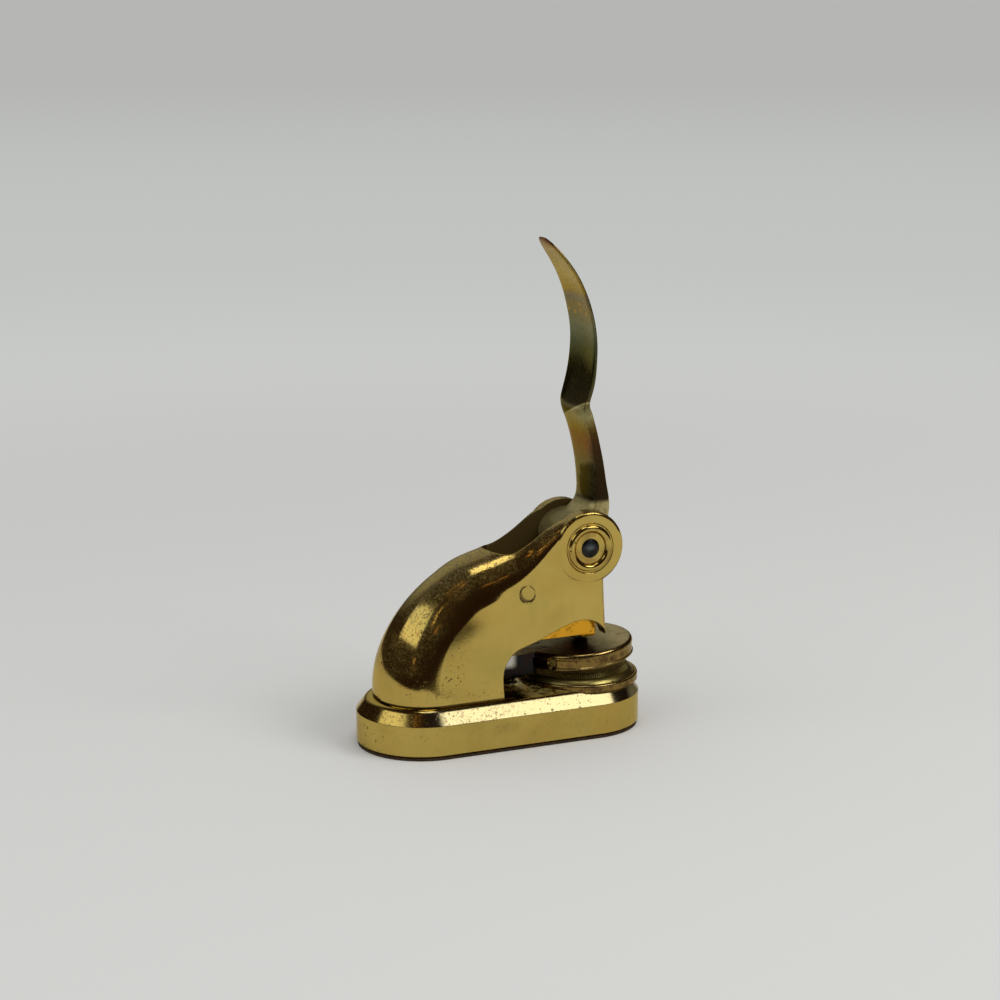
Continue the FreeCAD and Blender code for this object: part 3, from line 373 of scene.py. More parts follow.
def make_blob_group():
    """Mask round a point: one minus the stretched distance, with a ragged edge."""
    g = Group("blob", {"Vector": ORIGIN, "Centre": ORIGIN, "Radii": ORIGIN, "Ragged": 0.5, "Soft": 0.5},
              "Mask")
    offset = g.vector("SUBTRACT", g.given["Vector"], g.given["Centre"])
    distance = g.measure("LENGTH", g.vector("DIVIDE", offset, g.given["Radii"]))
    noise = g.noise(g.given["Vector"], RAGGED_SCALE, 5.0)
    wobble = g.times(g.plus(noise, -0.5), g.given["Ragged"])
    outer, inner = g.plus(1.0, g.given["Soft"]), g.math("SUBTRACT", 1.0, g.given["Soft"])
    return g.done(g.span(g.plus(distance, wobble), outer, inner))


def make_polish_group():
    """Normal of fine polishing lines, grain, and a faint ripple in the casting under the plate."""
    g = Group("polish", {"Vector": ORIGIN, "Lines": 0.03, "Ripple": 0.1, "Grain": 0.02}, "Normal", VECTOR)
    lines = g.noise(g.vector("MULTIPLY", g.given["Vector"], LINE_STRETCH), LINE_SCALE, 2.0)
    ripple = g.noise(g.given["Vector"], RIPPLE_SCALE, 2.0)
    grain = g.noise(g.given["Vector"], GRAIN_SCALE, 1.0)
    fine = g.plus(g.times(lines, g.given["Lines"]), g.times(grain, g.given["Grain"]))
    first = g.node("ShaderNodeBump", {"Height": fine, "Strength": 1.0, "Distance": FINE_DEPTH})
    second = g.node("ShaderNodeBump", {"Height": g.times(ripple, g.given["Ripple"]), "Strength": 1.0,
                                       "Distance": RIPPLE_DEPTH, "Normal": first.outputs[0]})
    return g.done(second.outputs[0])


GROUPS = {"cloud": make_cloud_group(), "speck": make_speck_group(), "blob": make_blob_group(),
          "polish": make_polish_group()}
FINE_LINES = {"Lines": 0.05, "Ripple": 0.04, "Grain": 0.08}      # polish of the small turned parts

# ---------------------------------------------------------------- finishes
EDGE_GOLD = rgb(248, 238, 212)      # tint of bright metal seen edge-on
BRASS = rgb(196, 169, 88)
BRASS_WARM = rgb(182, 146, 68)
BRASS_GREEN = rgb(172, 158, 82)
TARNISH_AND_SHADE_BROWN = rgb(72, 50, 42)
TARNISH_RED = rgb(112, 58, 34)
TARNISH_OLIVE = rgb(134, 126, 96)
RUST_ORANGE = rgb(150, 88, 50)
UNDERSIDE_SHADE_BROWN = rgb(44, 28, 18)
SLOT_SHADE_BROWN = rgb(58, 41, 25)
PIT_BLACK = rgb(30, 24, 18)
EASE_SAMPLES = 6
NEAR_FACE = -15 * MM                # Y of the near cheek's and ear's outer face
BASE_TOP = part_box("base")[1][2]


class Finish(Tree):
    """A material with one Principled shader, fed by colours and masks on Object coordinates."""

    def __init__(self, name, **plain):
        self.material = bpy.data.materials.new(name)
        self.material.use_nodes = True
        super().__init__(self.material.node_tree)
        self.tree.nodes.clear()
        self.shader = self.node("ShaderNodeBsdfPrincipled")
        self.shader.inputs["Specular Tint"].default_value = EDGE_GOLD
        for key, value in plain.items():
            self.shader.inputs[key.replace("_", " ")].default_value = value
        self.end = self.node("ShaderNodeOutputMaterial", {0: self.shader.outputs[0]})
        given = self.node("ShaderNodeTexCoord").outputs
        self.place = given["Object"]
        self.x, self.y, self.z = self.parts(self.place)
        _, self.facing_y, self.facing_z = self.parts(given["Normal"])

    def effect(self, group, **values):
        """Output of a shared effect with its own values."""
        inputs = {"Vector": self.place, **values}
        return self.node("ShaderNodeGroup", inputs, node_tree=GROUPS[group]).outputs[0]

    def eased(self, normal, radius):
        """The same normal with the sharp edges eased over the radius."""
        inputs = {"Radius": radius, "Normal": normal}
        return self.node("ShaderNodeBevel", inputs, samples=EASE_SAMPLES).outputs[0]

    def feed(self, **sockets):
        """Joins the sockets to the shader's inputs and returns the material."""
        for key, socket in sockets.items():
            self.tree.links.new(socket, self.shader.inputs[key.replace("_", " ")])
        return self.material


def on_near_face(node, across, rise):
    """A place on the near face: the middle of a node, moved across along X and up along Z."""
    low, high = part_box(node)
    return ((low[0] + high[0]) / 2 + across, NEAR_FACE, (low[2] + high[2]) / 2 + rise)


def plated(f):
    """Base colour of old brass plate: gold with faint warm and greenish clouds and upright streaks."""
    warm = f.effect("cloud", Scale=38.0, Detail=4.0, Low=0.42, High=0.7)
    colour = f.mix(f.times(0.5, warm), BRASS, BRASS_WARM)
    green = f.effect("cloud", Scale=64.0, Detail=3.0, Low=0.5, High=0.72)
    colour = f.mix(f.times(0.5, green), colour, BRASS_GREEN)
    streak = f.noise(f.vector("MULTIPLY", f.place, (1.0, 1.0, 0.12)), 260.0, 3.0)
    return f.mix(f.times(0.22, f.span(streak, 0.45, 0.7)), colour, BRASS_GREEN)


def pitting(f, clusters, colour, share=0.35):
    """Small ragged pits, thick inside the clusters; returns the colour and the pits' mask."""
    fine = f.effect("speck", Scale=1150.0, Size=0.5, Share=share)
    coarse = f.effect("speck", Scale=560.0, Size=0.34, Share=0.5 * share)
    pits = f.math("MULTIPLY", f.largest(f.times(0.7, fine), coarse), clusters, clamp=True)
    return f.mix(f.times(0.85, pits), colour, PIT_BLACK), pits


# Where each finish of the casting sets in: start and end, of a height or of how far a face is turned
CROWN_HEIGHT, CROWN_TURN = mm(27, 31), (0.975, 0.80)
RIDGE_HEIGHT, RIDGE_TURN = mm(42, 58), (0.70, 0.25)
SLOT_HEIGHT, SLOT_TURN, SLOT_WALL = mm(50, 54), (0.8, 0.95), mm(10.8, 10.2)
UNDERSIDE_SHADE_TURN = (-0.12, -0.45)
FOOT_PITS_HEIGHT = mm(27, 20)
JOINT_HEIGHT = (BASE_TOP + 0.75 * MM, BASE_TOP + 0.35 * MM)
CASTING_EDGE, BASE_EDGE = mm(0.7, 0.35)         # radii that the edges are eased over
# Centre and radii of each cluster of pits on the casting
PIT_CLUSTERS = [(mm(-23.5, -16, 35.5), mm(3.2, 6, 3.4)), (mm(-26, -16.5, 26.5), mm(4.6, 6, 3.4)),
                (mm(-38, -14, 25), mm(6, 6, 4)), (mm(-2.5, -16, 43), mm(1.0, 6, 0.9)),
                (mm(-30, 16, 30), mm(5, 6, 4))]


def crown_tarnish_and_painted_reflection(f, colour, crown, mottle):
    """Brown and rusty mottle over the crown, partly real tarnish and partly a painted dark reflection of the
    room above it; returns the colour and the mask of both.
    """
    patches = f.effect("cloud", Scale=90.0, Detail=4.0, Low=0.40, High=0.65)
    rust = f.effect("cloud", Scale=170.0, Detail=5.0, Low=0.45, High=0.65)
    stain_and_painted_shade = f.times(crown, f.between(mottle, 0.2, 1.0), f.between(patches, 0.18, 0.8))
    colour = f.mix(stain_and_painted_shade, colour, f.mix(rust, TARNISH_AND_SHADE_BROWN, TARNISH_RED))
    return f.mix(f.times(0.45, crown, mottle, rust), colour, RUST_ORANGE), stain_and_painted_shade


def guide_pin_shade_crescent(f):
    """Mask of the painted shade in a crescent beside the guide pin: a round patch less one further up and to
    the front.
    """
    disc = f.effect("blob", Centre=on_near_face("ram_guide_pin", *mm(0.1, 0.2)), Radii=mm(3.3, 8, 3.3),
                    Ragged=0.0, Soft=0.07)
    inner = f.effect("blob", Centre=on_near_face("ram_guide_pin", *mm(0.9, 0.9)), Radii=mm(3.1, 8, 3.1),
                     Ragged=0.0, Soft=0.1)
    return f.times(disc, f.between(inner, 1.0, 0.0))


def body_plate():
    """Brass plate of the casting: bright cheeks with clusters of pits, a brown mottled crown that is partly
    tarnish and partly painted dark reflection, frosted ridge, slot walls darkened by painted shade and made
    duller, painted shade on faces that turn downwards and beside the guide pin, and a dark joint at the foot."""
    f = Finish("body_plate")
    colour = plated(f)
    side = f.math("ABSOLUTE", f.facing_y)
    crown = f.times(f.span(side, *CROWN_TURN), f.span(f.z, *CROWN_HEIGHT))
    ridge = f.times(f.span(side, *RIDGE_TURN), f.span(f.z, *RIDGE_HEIGHT))
    mottle = f.effect("cloud", Scale=1300.0, Detail=5.0, Low=0.48, High=0.60)
    # Tarnish on the crown, partly a painted dark reflection
    colour, stain_and_painted_shade = crown_tarnish_and_painted_reflection(f, colour, crown, mottle)
    frost = f.times(ridge, f.between(mottle, 0.35, 1.0))
    colour = f.mix(f.times(0.8, frost), colour, TARNISH_OLIVE)
    # Painted shade: faces that turn downwards are darkened to brown
    colour = f.mix(f.times(0.85, f.span(f.facing_z, *UNDERSIDE_SHADE_TURN)), colour, UNDERSIDE_SHADE_BROWN)
    clusters = f.largest(f.times(0.3, f.span(f.z, *FOOT_PITS_HEIGHT)),
                         *[f.effect("blob", Centre=centre, Radii=radii, Ragged=1.2)
                           for centre, radii in PIT_CLUSTERS], f.times(0.7, crown))
    colour, pits = pitting(f, clusters, colour)
    # Painted shade: the crescent beside the guide pin is darkened to brown
    colour = f.mix(f.times(0.75, guide_pin_shade_crescent(f)), colour, TARNISH_AND_SHADE_BROWN)
    # Painted shade: the slot's inner walls are darkened to brown, and made less metallic and rougher
    slot_shade = f.times(f.span(f.math("ABSOLUTE", f.y), *SLOT_WALL), f.span(side, *SLOT_TURN),
                   f.span(f.z, *SLOT_HEIGHT))
    colour = f.mix(f.times(0.85, slot_shade), colour, SLOT_SHADE_BROWN)
    colour = f.mix(f.times(0.9, f.span(f.z, *JOINT_HEIGHT)), colour, PIT_BLACK)
    metal = f.between(f.largest(f.times(0.8, stain_and_painted_shade), f.times(0.55, frost), slot_shade), 1.0, 0.4)
    rough = f.plus(0.08, f.times(0.24, stain_and_painted_shade), f.times(0.24, frost), f.times(0.3, pits), f.times(0.3, slot_shade))
    normal = f.eased(f.effect("polish", Lines=0.01, Ripple=0.018, Grain=0.05), CASTING_EDGE)
    return f.feed(Base_Color=colour, Roughness=rough, Metallic=metal, Normal=normal)


# Stretches along the base, from where a finish begins to where it is full
REAR_PITS, BEVEL_GRIME, BEVEL_HIGHLIGHT_FROM, BEVEL_TIP = mm(-20, -50), mm(10, -12), mm(-42, -34), mm(42, 46)
THROAT_WORN = mm(0, 8)
SMUDGE_CENTRE, SMUDGE_RADII = mm(-8, -24, 9), mm(5, 4, 2.4)
BEVEL_HIGHLIGHT_OLIVE, TIP_OLIVE = rgb(142, 131, 94), rgb(126, 114, 76)
SMUDGE_OLIVE, THROAT_OLIVE = rgb(112, 92, 44), rgb(106, 90, 62)


def base_plate():
    """Brass plate of the base: speckled bevel in a greyer olive that stands in for its whitened highlight, a
    dull front tip, pitted rear end, worn top in the throat and an olive smudge on the side."""
    f = Finish("base_plate")
    colour = plated(f)
    bevel = f.times(f.span(f.facing_z, 0.25, 0.5), f.span(f.facing_z, 0.85, 0.7))
    middle = f.times(f.span(f.x, *BEVEL_GRIME), bevel)
    thin = f.effect("cloud", Scale=55.0, Detail=3.0, Low=0.42, High=0.66)
    grime = f.effect("cloud", Scale=900.0, Detail=5.0, Low=0.5, High=0.66)
    clusters = f.largest(f.times(f.span(f.x, *REAR_PITS), f.between(thin, 0.25, 1.0)), f.times(0.6, middle),
                         f.times(bevel, f.between(thin, 0.2, 0.7)), f.times(0.3, thin))
    # Painted highlight tone: the bevel's greyer olive makes the bright reflection along it read cream
    colour = f.mix(f.times(bevel, f.span(f.x, *BEVEL_HIGHLIGHT_FROM)), colour, BEVEL_HIGHLIGHT_OLIVE)
    colour = f.mix(f.times(0.55, middle, grime), colour, TARNISH_AND_SHADE_BROWN)
    smudge = f.effect("blob", Centre=SMUDGE_CENTRE, Radii=SMUDGE_RADII, Ragged=1.6, Soft=0.6)
    colour = f.mix(f.times(0.4, smudge, f.between(grime, 0.4, 1.0)), colour, SMUDGE_OLIVE)
    colour, pits = pitting(f, clusters, colour, 0.42)
    worn = f.times(f.span(f.z, BASE_TOP - 0.6 * MM, BASE_TOP),
                   f.effect("cloud", Scale=380.0, Detail=6.0, Low=0.36, High=0.66), f.span(f.x, *THROAT_WORN))
    colour = f.mix(f.times(0.7, worn), colour, THROAT_OLIVE)
    tip = f.times(bevel, f.span(f.x, *BEVEL_TIP))
    colour = f.mix(f.times(0.8, tip), colour, TIP_OLIVE)
    rough = f.plus(0.09, f.times(0.3, pits), f.times(0.2, worn), f.times(0.15, smudge), f.times(0.06, bevel))
    metal = f.plus(1.0, f.times(-0.9, worn), f.times(-0.6, tip))
    normal = f.eased(f.effect("polish", Lines=0.015, Ripple=0.02, Grain=0.05), BASE_EDGE)
    return f.feed(Base_Color=colour, Roughness=rough, Metallic=metal, Normal=normal)


def bush_plate():
    """Turned brass with reddish tarnish in patches and clusters of pits."""
    f = Finish("bush_plate", Metallic=1.0)
    stain_and_painted_shade = f.effect("cloud", Scale=130.0, Detail=5.0, Low=0.46, High=0.62)
    colour = f.mix(f.times(0.35, stain_and_painted_shade), plated(f), TARNISH_RED)
    colour, pits = pitting(f, f.effect("cloud", Scale=90.0, Detail=2.0, Low=0.45, High=0.7), colour)
    normal = f.effect("polish", Lines=0.03, Ripple=0.03, Grain=0.05)
    return f.feed(Base_Color=colour, Roughness=f.between(pits, 0.14, 0.44), Normal=normal)


LEVER_FOOT, LEVER_TIP = mm(80, 180)     # heights of the first and the last band
LEVER_BANDS = [                         # share of the way up, and the colour there: tarnish together with painted reflection and shade
    (0.00, rgb(126, 116, 74)), (0.045, rgb(132, 122, 88)), (0.075, rgb(102, 94, 64)),
    (0.17, rgb(112, 102, 66)), (0.21, rgb(118, 94, 58)), (0.25, rgb(130, 88, 52)), (0.29, rgb(132, 94, 48)),
    (0.32, rgb(138, 116, 54)), (0.37, rgb(152, 142, 96)), (0.42, rgb(76, 72, 38)), (0.54, rgb(84, 86, 50)),
    (0.62, rgb(84, 92, 66)), (0.68, rgb(112, 114, 82)), (0.75, rgb(132, 116, 66)),
    (0.78, rgb(122, 110, 86)), (0.81, rgb(168, 138, 46)), (0.88, rgb(188, 162, 84)),
    (0.94, rgb(168, 146, 72)), (0.97, rgb(176, 142, 84)), (1.0, rgb(112, 66, 40))]
BAND_DRIFT = 6 * MM                     # how far the bands wander up and down
LEVER_EDGE = rgb(238, 222, 182)         # tint of the lever seen edge-on
KNEE_CREASE = 117.6 * MM                # height of the crease on the middle line
KNEE_SLANT = 0.40                       # the crease is this much lower per unit towards the far side
LOBE_TOP, UPPER_DULL = 138 * MM, mm(138, 146)
# Colours of the painted reflections, shade and highlight round the knee
LOBE_REFLECTION_OLIVE, LOBE_SHADE_BLACK = rgb(66, 61, 36), rgb(22, 20, 10)
SHOULDER_REFLECTION_OLIVE, CREASE_HIGHLIGHT = rgb(150, 138, 84), rgb(206, 190, 130)
NECK_SHADE_BLACK, NECK_SHADE_FOOT = rgb(30, 24, 14), mm(83.3, 84.6)
GINGER, GINGER_FOOT, GINGER_TOP = rgb(206, 142, 44), mm(148, 153), mm(162, 157)
EDGE_SHADE_BROWN, NECK_SIDE_SHADE_BROWN = rgb(60, 36, 20), rgb(50, 36, 20)
HUB_HEIGHT, HUB_ROOT = mm(85.5, 83.2), mm(26, 32)
HUB_OLIVE, ROOT_PALE = rgb(122, 110, 68), rgb(176, 162, 108)
GRAIN_OLIVE, HUB_GRIME = rgb(92, 80, 46), rgb(92, 80, 48)


def knee_painted_crease(f, colour, height):
    """Painted reflections and shade round the knee's crease, which draw the crease aslant: a dark lobe above
    it with a paler streak, near black where it faces down, a bright shoulder below and a painted highlight
    along it; returns the colour and what it adds to the metallic."""
    aslant = f.plus(f.z, f.times(KNEE_SLANT, f.y))
    above = f.span(aslant, KNEE_CREASE - 0.2 * MM, KNEE_CREASE + 0.3 * MM)
    streak = f.times(f.span(f.y, *mm(4.5, 7.5)), f.span(f.z, *mm(119, 121)))
    lobe = f.times(above, f.span(height, LOBE_TOP, KNEE_CREASE + 3 * MM), f.between(streak, 1.0, 0.2))
    # Painted dark reflection on the lobe above the crease
    colour = f.mix(f.times(0.85, lobe), colour, LOBE_REFLECTION_OLIVE)
    under = f.times(above, f.span(f.facing_z, 0.05, -0.08), f.span(f.z, *mm(121, 119.5)))
    # Painted shade, near black, where the lobe faces down
    colour = f.mix(f.times(0.9, under), colour, LOBE_SHADE_BLACK)
    shoulder_reflection = f.times(f.between(above, 1.0, 0.0), f.span(f.facing_z, -0.08, 0.05), f.span(f.z, *mm(113, 115)))
    # Painted bright reflection on the shoulder below the crease
    colour = f.mix(f.times(0.8, shoulder_reflection), colour, SHOULDER_REFLECTION_OLIVE)
    crease_highlight = f.times(f.span(aslant, KNEE_CREASE - 1.0 * MM, KNEE_CREASE - 0.5 * MM),
                   f.span(aslant, KNEE_CREASE, KNEE_CREASE - 0.3 * MM), f.span(f.y, *mm(2, -4)))
    # Painted highlight along the crease
    colour = f.mix(f.times(0.6, crease_highlight), colour, CREASE_HIGHLIGHT)
    return colour, f.plus(f.times(-0.3, lobe), f.times(0.3, under), f.times(-0.6, shoulder_reflection))


def neck_painted_dark(f):
    """Mask of the painted dark reflection on the lever's neck and of its tail up the near edge."""
    patch = f.effect("blob", Centre=mm(37, -5.5, 91), Radii=mm(12, 9.5, 8), Ragged=1.0, Soft=0.22)
    tail = f.effect("blob", Centre=mm(37, -11.5, 100), Radii=mm(12, 4, 9), Ragged=0.8)
    return f.times(f.largest(patch, f.times(0.8, tail)), f.span(f.z, *NECK_SHADE_FOOT))


def edges_painted_dark(f, colour):
    """Painted dark reflection in brown on the turned near edge above the knee and on the near side of the
    neck.
    """
    near = f.times(-1.0, f.facing_y)
    rim = f.times(f.span(near, 0.45, 0.6), f.span(near, 0.95, 0.85), f.span(f.z, *mm(117, 120)))
    neck = f.times(f.span(near, 0.55, 0.75), f.span(f.z, *mm(117, 110)), f.span(f.z, *mm(83, 86)))
    return f.mix(f.times(0.7, neck), f.mix(f.times(0.7, rim), colour, EDGE_SHADE_BROWN), NECK_SIDE_SHADE_BROWN)


def lever_plate():
    """Thin worn plate on the lever: bands of interference colour up its height mixed with painted reflection
    and shade, painted reflections and shade that draw the knee's crease aslant, a painted dark reflection on
    the neck above the hub, painted dark near edges and a dull hub."""
    f = Finish("lever_plate", Specular_Tint=LEVER_EDGE)
    height = f.plus(f.z, f.times(BAND_DRIFT, f.plus(f.noise(f.place, 120.0, 5.0), -0.5)))
    place = f.node("ShaderNodeMapRange", {0: height, 1: LEVER_FOOT, 2: LEVER_TIP}, clamp=True).outputs[0]
    colour, knee_metal = knee_painted_crease(f, f.ramp(place, LEVER_BANDS), height)
    # Painted dark reflection: the neck above the hub is made near black
    neck_shade = neck_painted_dark(f)
    colour = f.mix(f.times(0.95, neck_shade), colour, NECK_SHADE_BLACK)
    grain = f.effect("cloud", Scale=700.0, Detail=6.0, Low=0.42, High=0.66)
    colour = f.mix(f.times(0.3, grain), colour, GRAIN_OLIVE)
    ginger = f.times(f.effect("speck", Scale=420.0, Size=0.5, Share=0.22), f.span(f.z, *GINGER_FOOT),
                     f.span(f.z, *GINGER_TOP))
    colour = f.mix(f.times(0.6, ginger), colour, GINGER)
    colour = f.mix(f.times(0.6, f.effect("speck", Scale=1300.0, Size=0.4, Share=0.2)), colour, PIT_BLACK)
    colour = edges_painted_dark(f, colour)
    hub = f.span(f.z, *HUB_HEIGHT)
    colour = f.mix(hub, colour, f.mix(f.span(f.x, *HUB_ROOT), HUB_OLIVE, ROOT_PALE))
    colour = f.mix(f.times(0.35, hub, grain), colour, HUB_GRIME)
    rough = f.plus(0.18, f.times(0.12, grain), f.times(0.1, neck_shade), f.times(0.12, hub))
    upper = f.span(f.z, *UPPER_DULL)
    metal = f.plus(1.0, f.times(-0.6, hub), f.times(-0.25, upper), knee_metal)
    normal = f.effect("polish", Lines=0.04, Ripple=0.03, Grain=0.12)
    return f.feed(Base_Color=colour, Roughness=rough, Metallic=metal, Normal=normal)


def shaded(colour, share):
    """A colour with its light cut to a share."""
    return tuple(share * c for c in colour[:3]) + (1.0,)


def plain_metal(name, colour, roughness, spot_share=0.1):
    """Turned or ground metal with fine lines, duller patches and a few dark specks."""
    f = Finish(name, Metallic=1.0)
    patches = f.effect("cloud", Scale=300.0, Detail=6.0, Low=0.5, High=0.7)
    specks = f.effect("speck", Scale=1100.0, Size=0.42, Share=spot_share)
    shade = f.mix(f.times(0.7, specks), f.mix(patches, colour, shaded(colour, 0.45)), shaded(colour, 0.15))
    rough = f.plus(roughness, f.times(0.2, specks))
    normal = f.effect("polish", Lines=0.06, Ripple=0.04, Grain=0.08)
    return f.feed(Base_Color=shade, Roughness=rough, Normal=normal)


DISC_BRASS, DISC_DULL = rgb(168, 144, 88), rgb(120, 98, 56)
RIM_TAN, RIM_DARK = rgb(128, 102, 50), rgb(84, 60, 34)
FACE_PALE, FACE_DULL, FACE_DARK_REFLECTION = rgb(192, 178, 138), rgb(142, 124, 90), rgb(28, 20, 13)
DARK_REFLECTION_EDGE, DARK_REFLECTION_DRIFT = mm(46, 33), 6 * MM        # where the painted dark reflection under the arm ends, and how its edge wanders
UPPER_FACE = mm(26, 28)                             # heights above which only the upper holder reaches


def disc_plate():
    """Browned plate of the die holders: speckled dark rims, paler worn edges, and a painted dark reflection
    on the top under the arm.
    """
    f = Finish("disc_plate", Metallic=1.0)
    mottle = f.effect("cloud", Scale=420.0, Detail=6.0, Low=0.42, High=0.64)
    rim = f.span(f.math("ABSOLUTE", f.facing_z), 0.55, 0.25)
    shade = f.mix(f.times(0.6, mottle), DISC_BRASS, DISC_DULL)
    shade = f.mix(f.times(0.85, rim), shade, f.mix(mottle, RIM_TAN, RIM_DARK))
    top = f.span(f.facing_z, 0.9, 0.98)
    worn = f.effect("cloud", Scale=240.0, Detail=6.0, Low=0.4, High=0.7)
    # Painted dark reflection: the top face is darkened under the arm, with a wandering edge
    stain_and_painted_shade = f.span(f.plus(f.x, f.times(DARK_REFLECTION_DRIFT, worn)), *DARK_REFLECTION_EDGE)
    face = f.mix(f.times(0.92, stain_and_painted_shade), f.mix(worn, FACE_PALE, FACE_DULL), FACE_DARK_REFLECTION)
    shade = f.mix(f.times(top, f.span(f.z, *UPPER_FACE)), shade, face)
    shade, pits = pitting(f, f.between(rim, 0.3, 0.8), shade, 0.4)
    rough = f.plus(0.16, f.times(0.25, pits), f.times(0.12, top), f.times(0.08, mottle))
    return f.feed(Base_Color=shade, Roughness=rough, Normal=f.effect("polish", **FINE_LINES))


DIE_OLIVE, DIE_DULL, GROOVE_SHADE = rgb(158, 144, 84), rgb(108, 90, 48), rgb(54, 42, 20)
BORDER_FOOT, BORDER_TOP = mm(21.0, 21.4), mm(22.85, 22.6)


def counter_plate():
    """Olive brass of the counter die, with painted shade in the bottoms of the flutes: the cosine of the
    number of flutes times the angle round the die's axis gives the wave."""
    f = Finish("counter_plate", Metallic=1.0)
    turn = f.math("ARCTAN2", f.y, f.plus(f.x, -DIE_X))
    wave = f.math("COSINE", f.times(FLUTES, turn))
    border = f.times(f.span(f.z, *BORDER_FOOT), f.span(f.z, *BORDER_TOP))
    grime = f.effect("cloud", Scale=300.0, Detail=6.0, Low=0.45, High=0.7)
    shade = f.mix(f.times(0.5, grime), DIE_OLIVE, DIE_DULL)
    # Painted shade in the bottoms of the flutes on the border
    shade = f.mix(f.times(0.75, border, f.span(wave, 0.2, -0.6)), shade, GROOVE_SHADE)
    specks = f.effect("speck", Scale=1100.0, Size=0.42, Share=0.2)
    shade = f.mix(f.times(0.7, specks), shade, PIT_BLACK)
    rough = f.plus(0.3, f.times(0.2, specks), f.times(0.1, grime))
    return f.feed(Base_Color=shade, Roughness=rough, Normal=f.effect("polish", **FINE_LINES))


PIN_DARK, PIN_DARKER, PIN_HIGHLIGHT = rgb(50, 48, 46), rgb(34, 32, 30), rgb(112, 120, 124)


def pin_steel():
    """Blackened end of the hinge pin with a painted highlight: a paler, cooler spot."""
    f = Finish("pin_steel", Metallic=1.0)
    spot = f.effect("blob", Centre=on_near_face("lever_pin", *mm(-0.4, 1.1)), Radii=mm(1.6, 4, 1.3),
                    Ragged=0.4, Soft=0.8)
    worn = f.effect("cloud", Scale=500.0, Detail=5.0, Low=0.4, High=0.7)
    # Painted highlight: the spot is lightened to a cool grey
    shade = f.mix(f.times(0.8, spot), f.mix(worn, PIN_DARK, PIN_DARKER), PIN_HIGHLIGHT)
    normal = f.effect("polish", Lines=0.04, Ripple=0.04, Grain=0.08)
    return f.feed(Base_Color=shade, Roughness=f.between(worn, 0.28, 0.38), Normal=normal)


ARM_BLUE, ARM_RUST, ARM_REFLECTION = rgb(34, 34, 34), rgb(50, 38, 33), rgb(196, 190, 178)
REFLECTION_LENGTH, REFLECTION_HEIGHT = mm(5.0, 2.4), mm(24, 26)


def arm_steel():
    """Blued and rusted steel of the die arm, with a painted bright reflection where it leaves the throat."""
    f = Finish("arm_steel", Metallic=1.0)
    rust = f.effect("cloud", Scale=220.0, Detail=6.0, Low=0.42, High=0.66)
    # Painted reflection: the arm is lightened where it leaves the throat
    arm_reflection = f.times(f.span(f.x, *REFLECTION_LENGTH), f.span(f.z, *REFLECTION_HEIGHT))
    colour = f.mix(arm_reflection, f.mix(rust, ARM_BLUE, ARM_RUST), ARM_REFLECTION)
    rough = f.between(rust, 0.2, 0.4)
    return f.feed(Base_Color=colour, Roughness=rough, Normal=f.effect("polish", **FINE_LINES))


def felt():
    """Short matted brown fibres."""
    f = Finish("felt", Roughness=0.95)
    fibre = f.effect("cloud", Scale=1800.0, Detail=6.0, Low=0.35, High=0.65)
    bump = f.node("ShaderNodeBump", {"Height": fibre, "Strength": 0.8, "Distance": 0.3 * MM})
    return f.feed(Base_Color=f.mix(fibre, rgb(38, 27, 18), rgb(82, 60, 40)), Normal=bump.outputs[0])


def dress(material, *names):
    """Gives the named CAD nodes this material alone."""
    for name in names:
        slots = NODES[name].data.materials
        slots.clear()
        slots.append(material)


# ---------------------------------------------------------------- floor, lamps and world
PALE = rgb(182, 183, 180)               # sky and far floor
ROOM_DARK = rgb(43, 30, 30)             # dim room that the metal reflects
ROOM_LIGHT = rgb(184, 185, 187)         # even light on matt surfaces
FLOOR_HALF = 30.0
FLOOR_COLOUR, SHEET_NEAR, SHEET_FAR = rgb(230, 229, 225), rgb(206, 207, 204), rgb(194, 196, 193)
# Distances over which the floor gives way to: its seen tone, the far tone, the sky's tone, the dim room
SEEN_FROM, SHEET_TURNS, PALE_FROM, DARK_FROM = (0.25, 0.9), (0.3, 1.5), (1.2, 5.0), (2.0, 2.6)


def make_floor():
    """Pale matt sheet; far off it keeps the same tone for the camera, and reflections see the dim room."""
    mesh = bpy.data.meshes.new("floor")
    corners = [(x * FLOOR_HALF, y * FLOOR_HALF, 0) for x, y in ((-1, -1), (1, -1), (1, 1), (-1, 1))]
    mesh.from_pydata(corners, [], [(0, 1, 2, 3)])
    floor = add_object("floor", mesh)
    f = Finish("pale_floor", Roughness=0.9, Base_Color=FLOOR_COLOUR, Specular_IOR_Level=0.1)
    away = f.measure("LENGTH", f.place)
    rays = f.node("ShaderNodeLightPath").outputs
    sheet = f.mix(f.span(away, *SHEET_TURNS), SHEET_NEAR, SHEET_FAR)
    sheet = f.mix(f.span(away, *PALE_FROM), sheet, PALE)
    seen = f.mix(rays["Is Glossy Ray"], sheet, ROOM_DARK)
    lit = f.node("ShaderNodeEmission", {"Color": seen, "Strength": 1.0})
    sharp = f.largest(rays["Is Camera Ray"], rays["Is Transmission Ray"])
    share = f.largest(f.times(sharp, f.span(away, *SEEN_FROM)),
                      f.times(rays["Is Glossy Ray"], f.span(away, *DARK_FROM)))
    both = f.node("ShaderNodeMixShader", {0: share, 1: f.shader.outputs[0], 2: lit.outputs[0]})
    f.tree.links.new(both.outputs[0], f.end.inputs[0])
    mesh.materials.append(f.material)


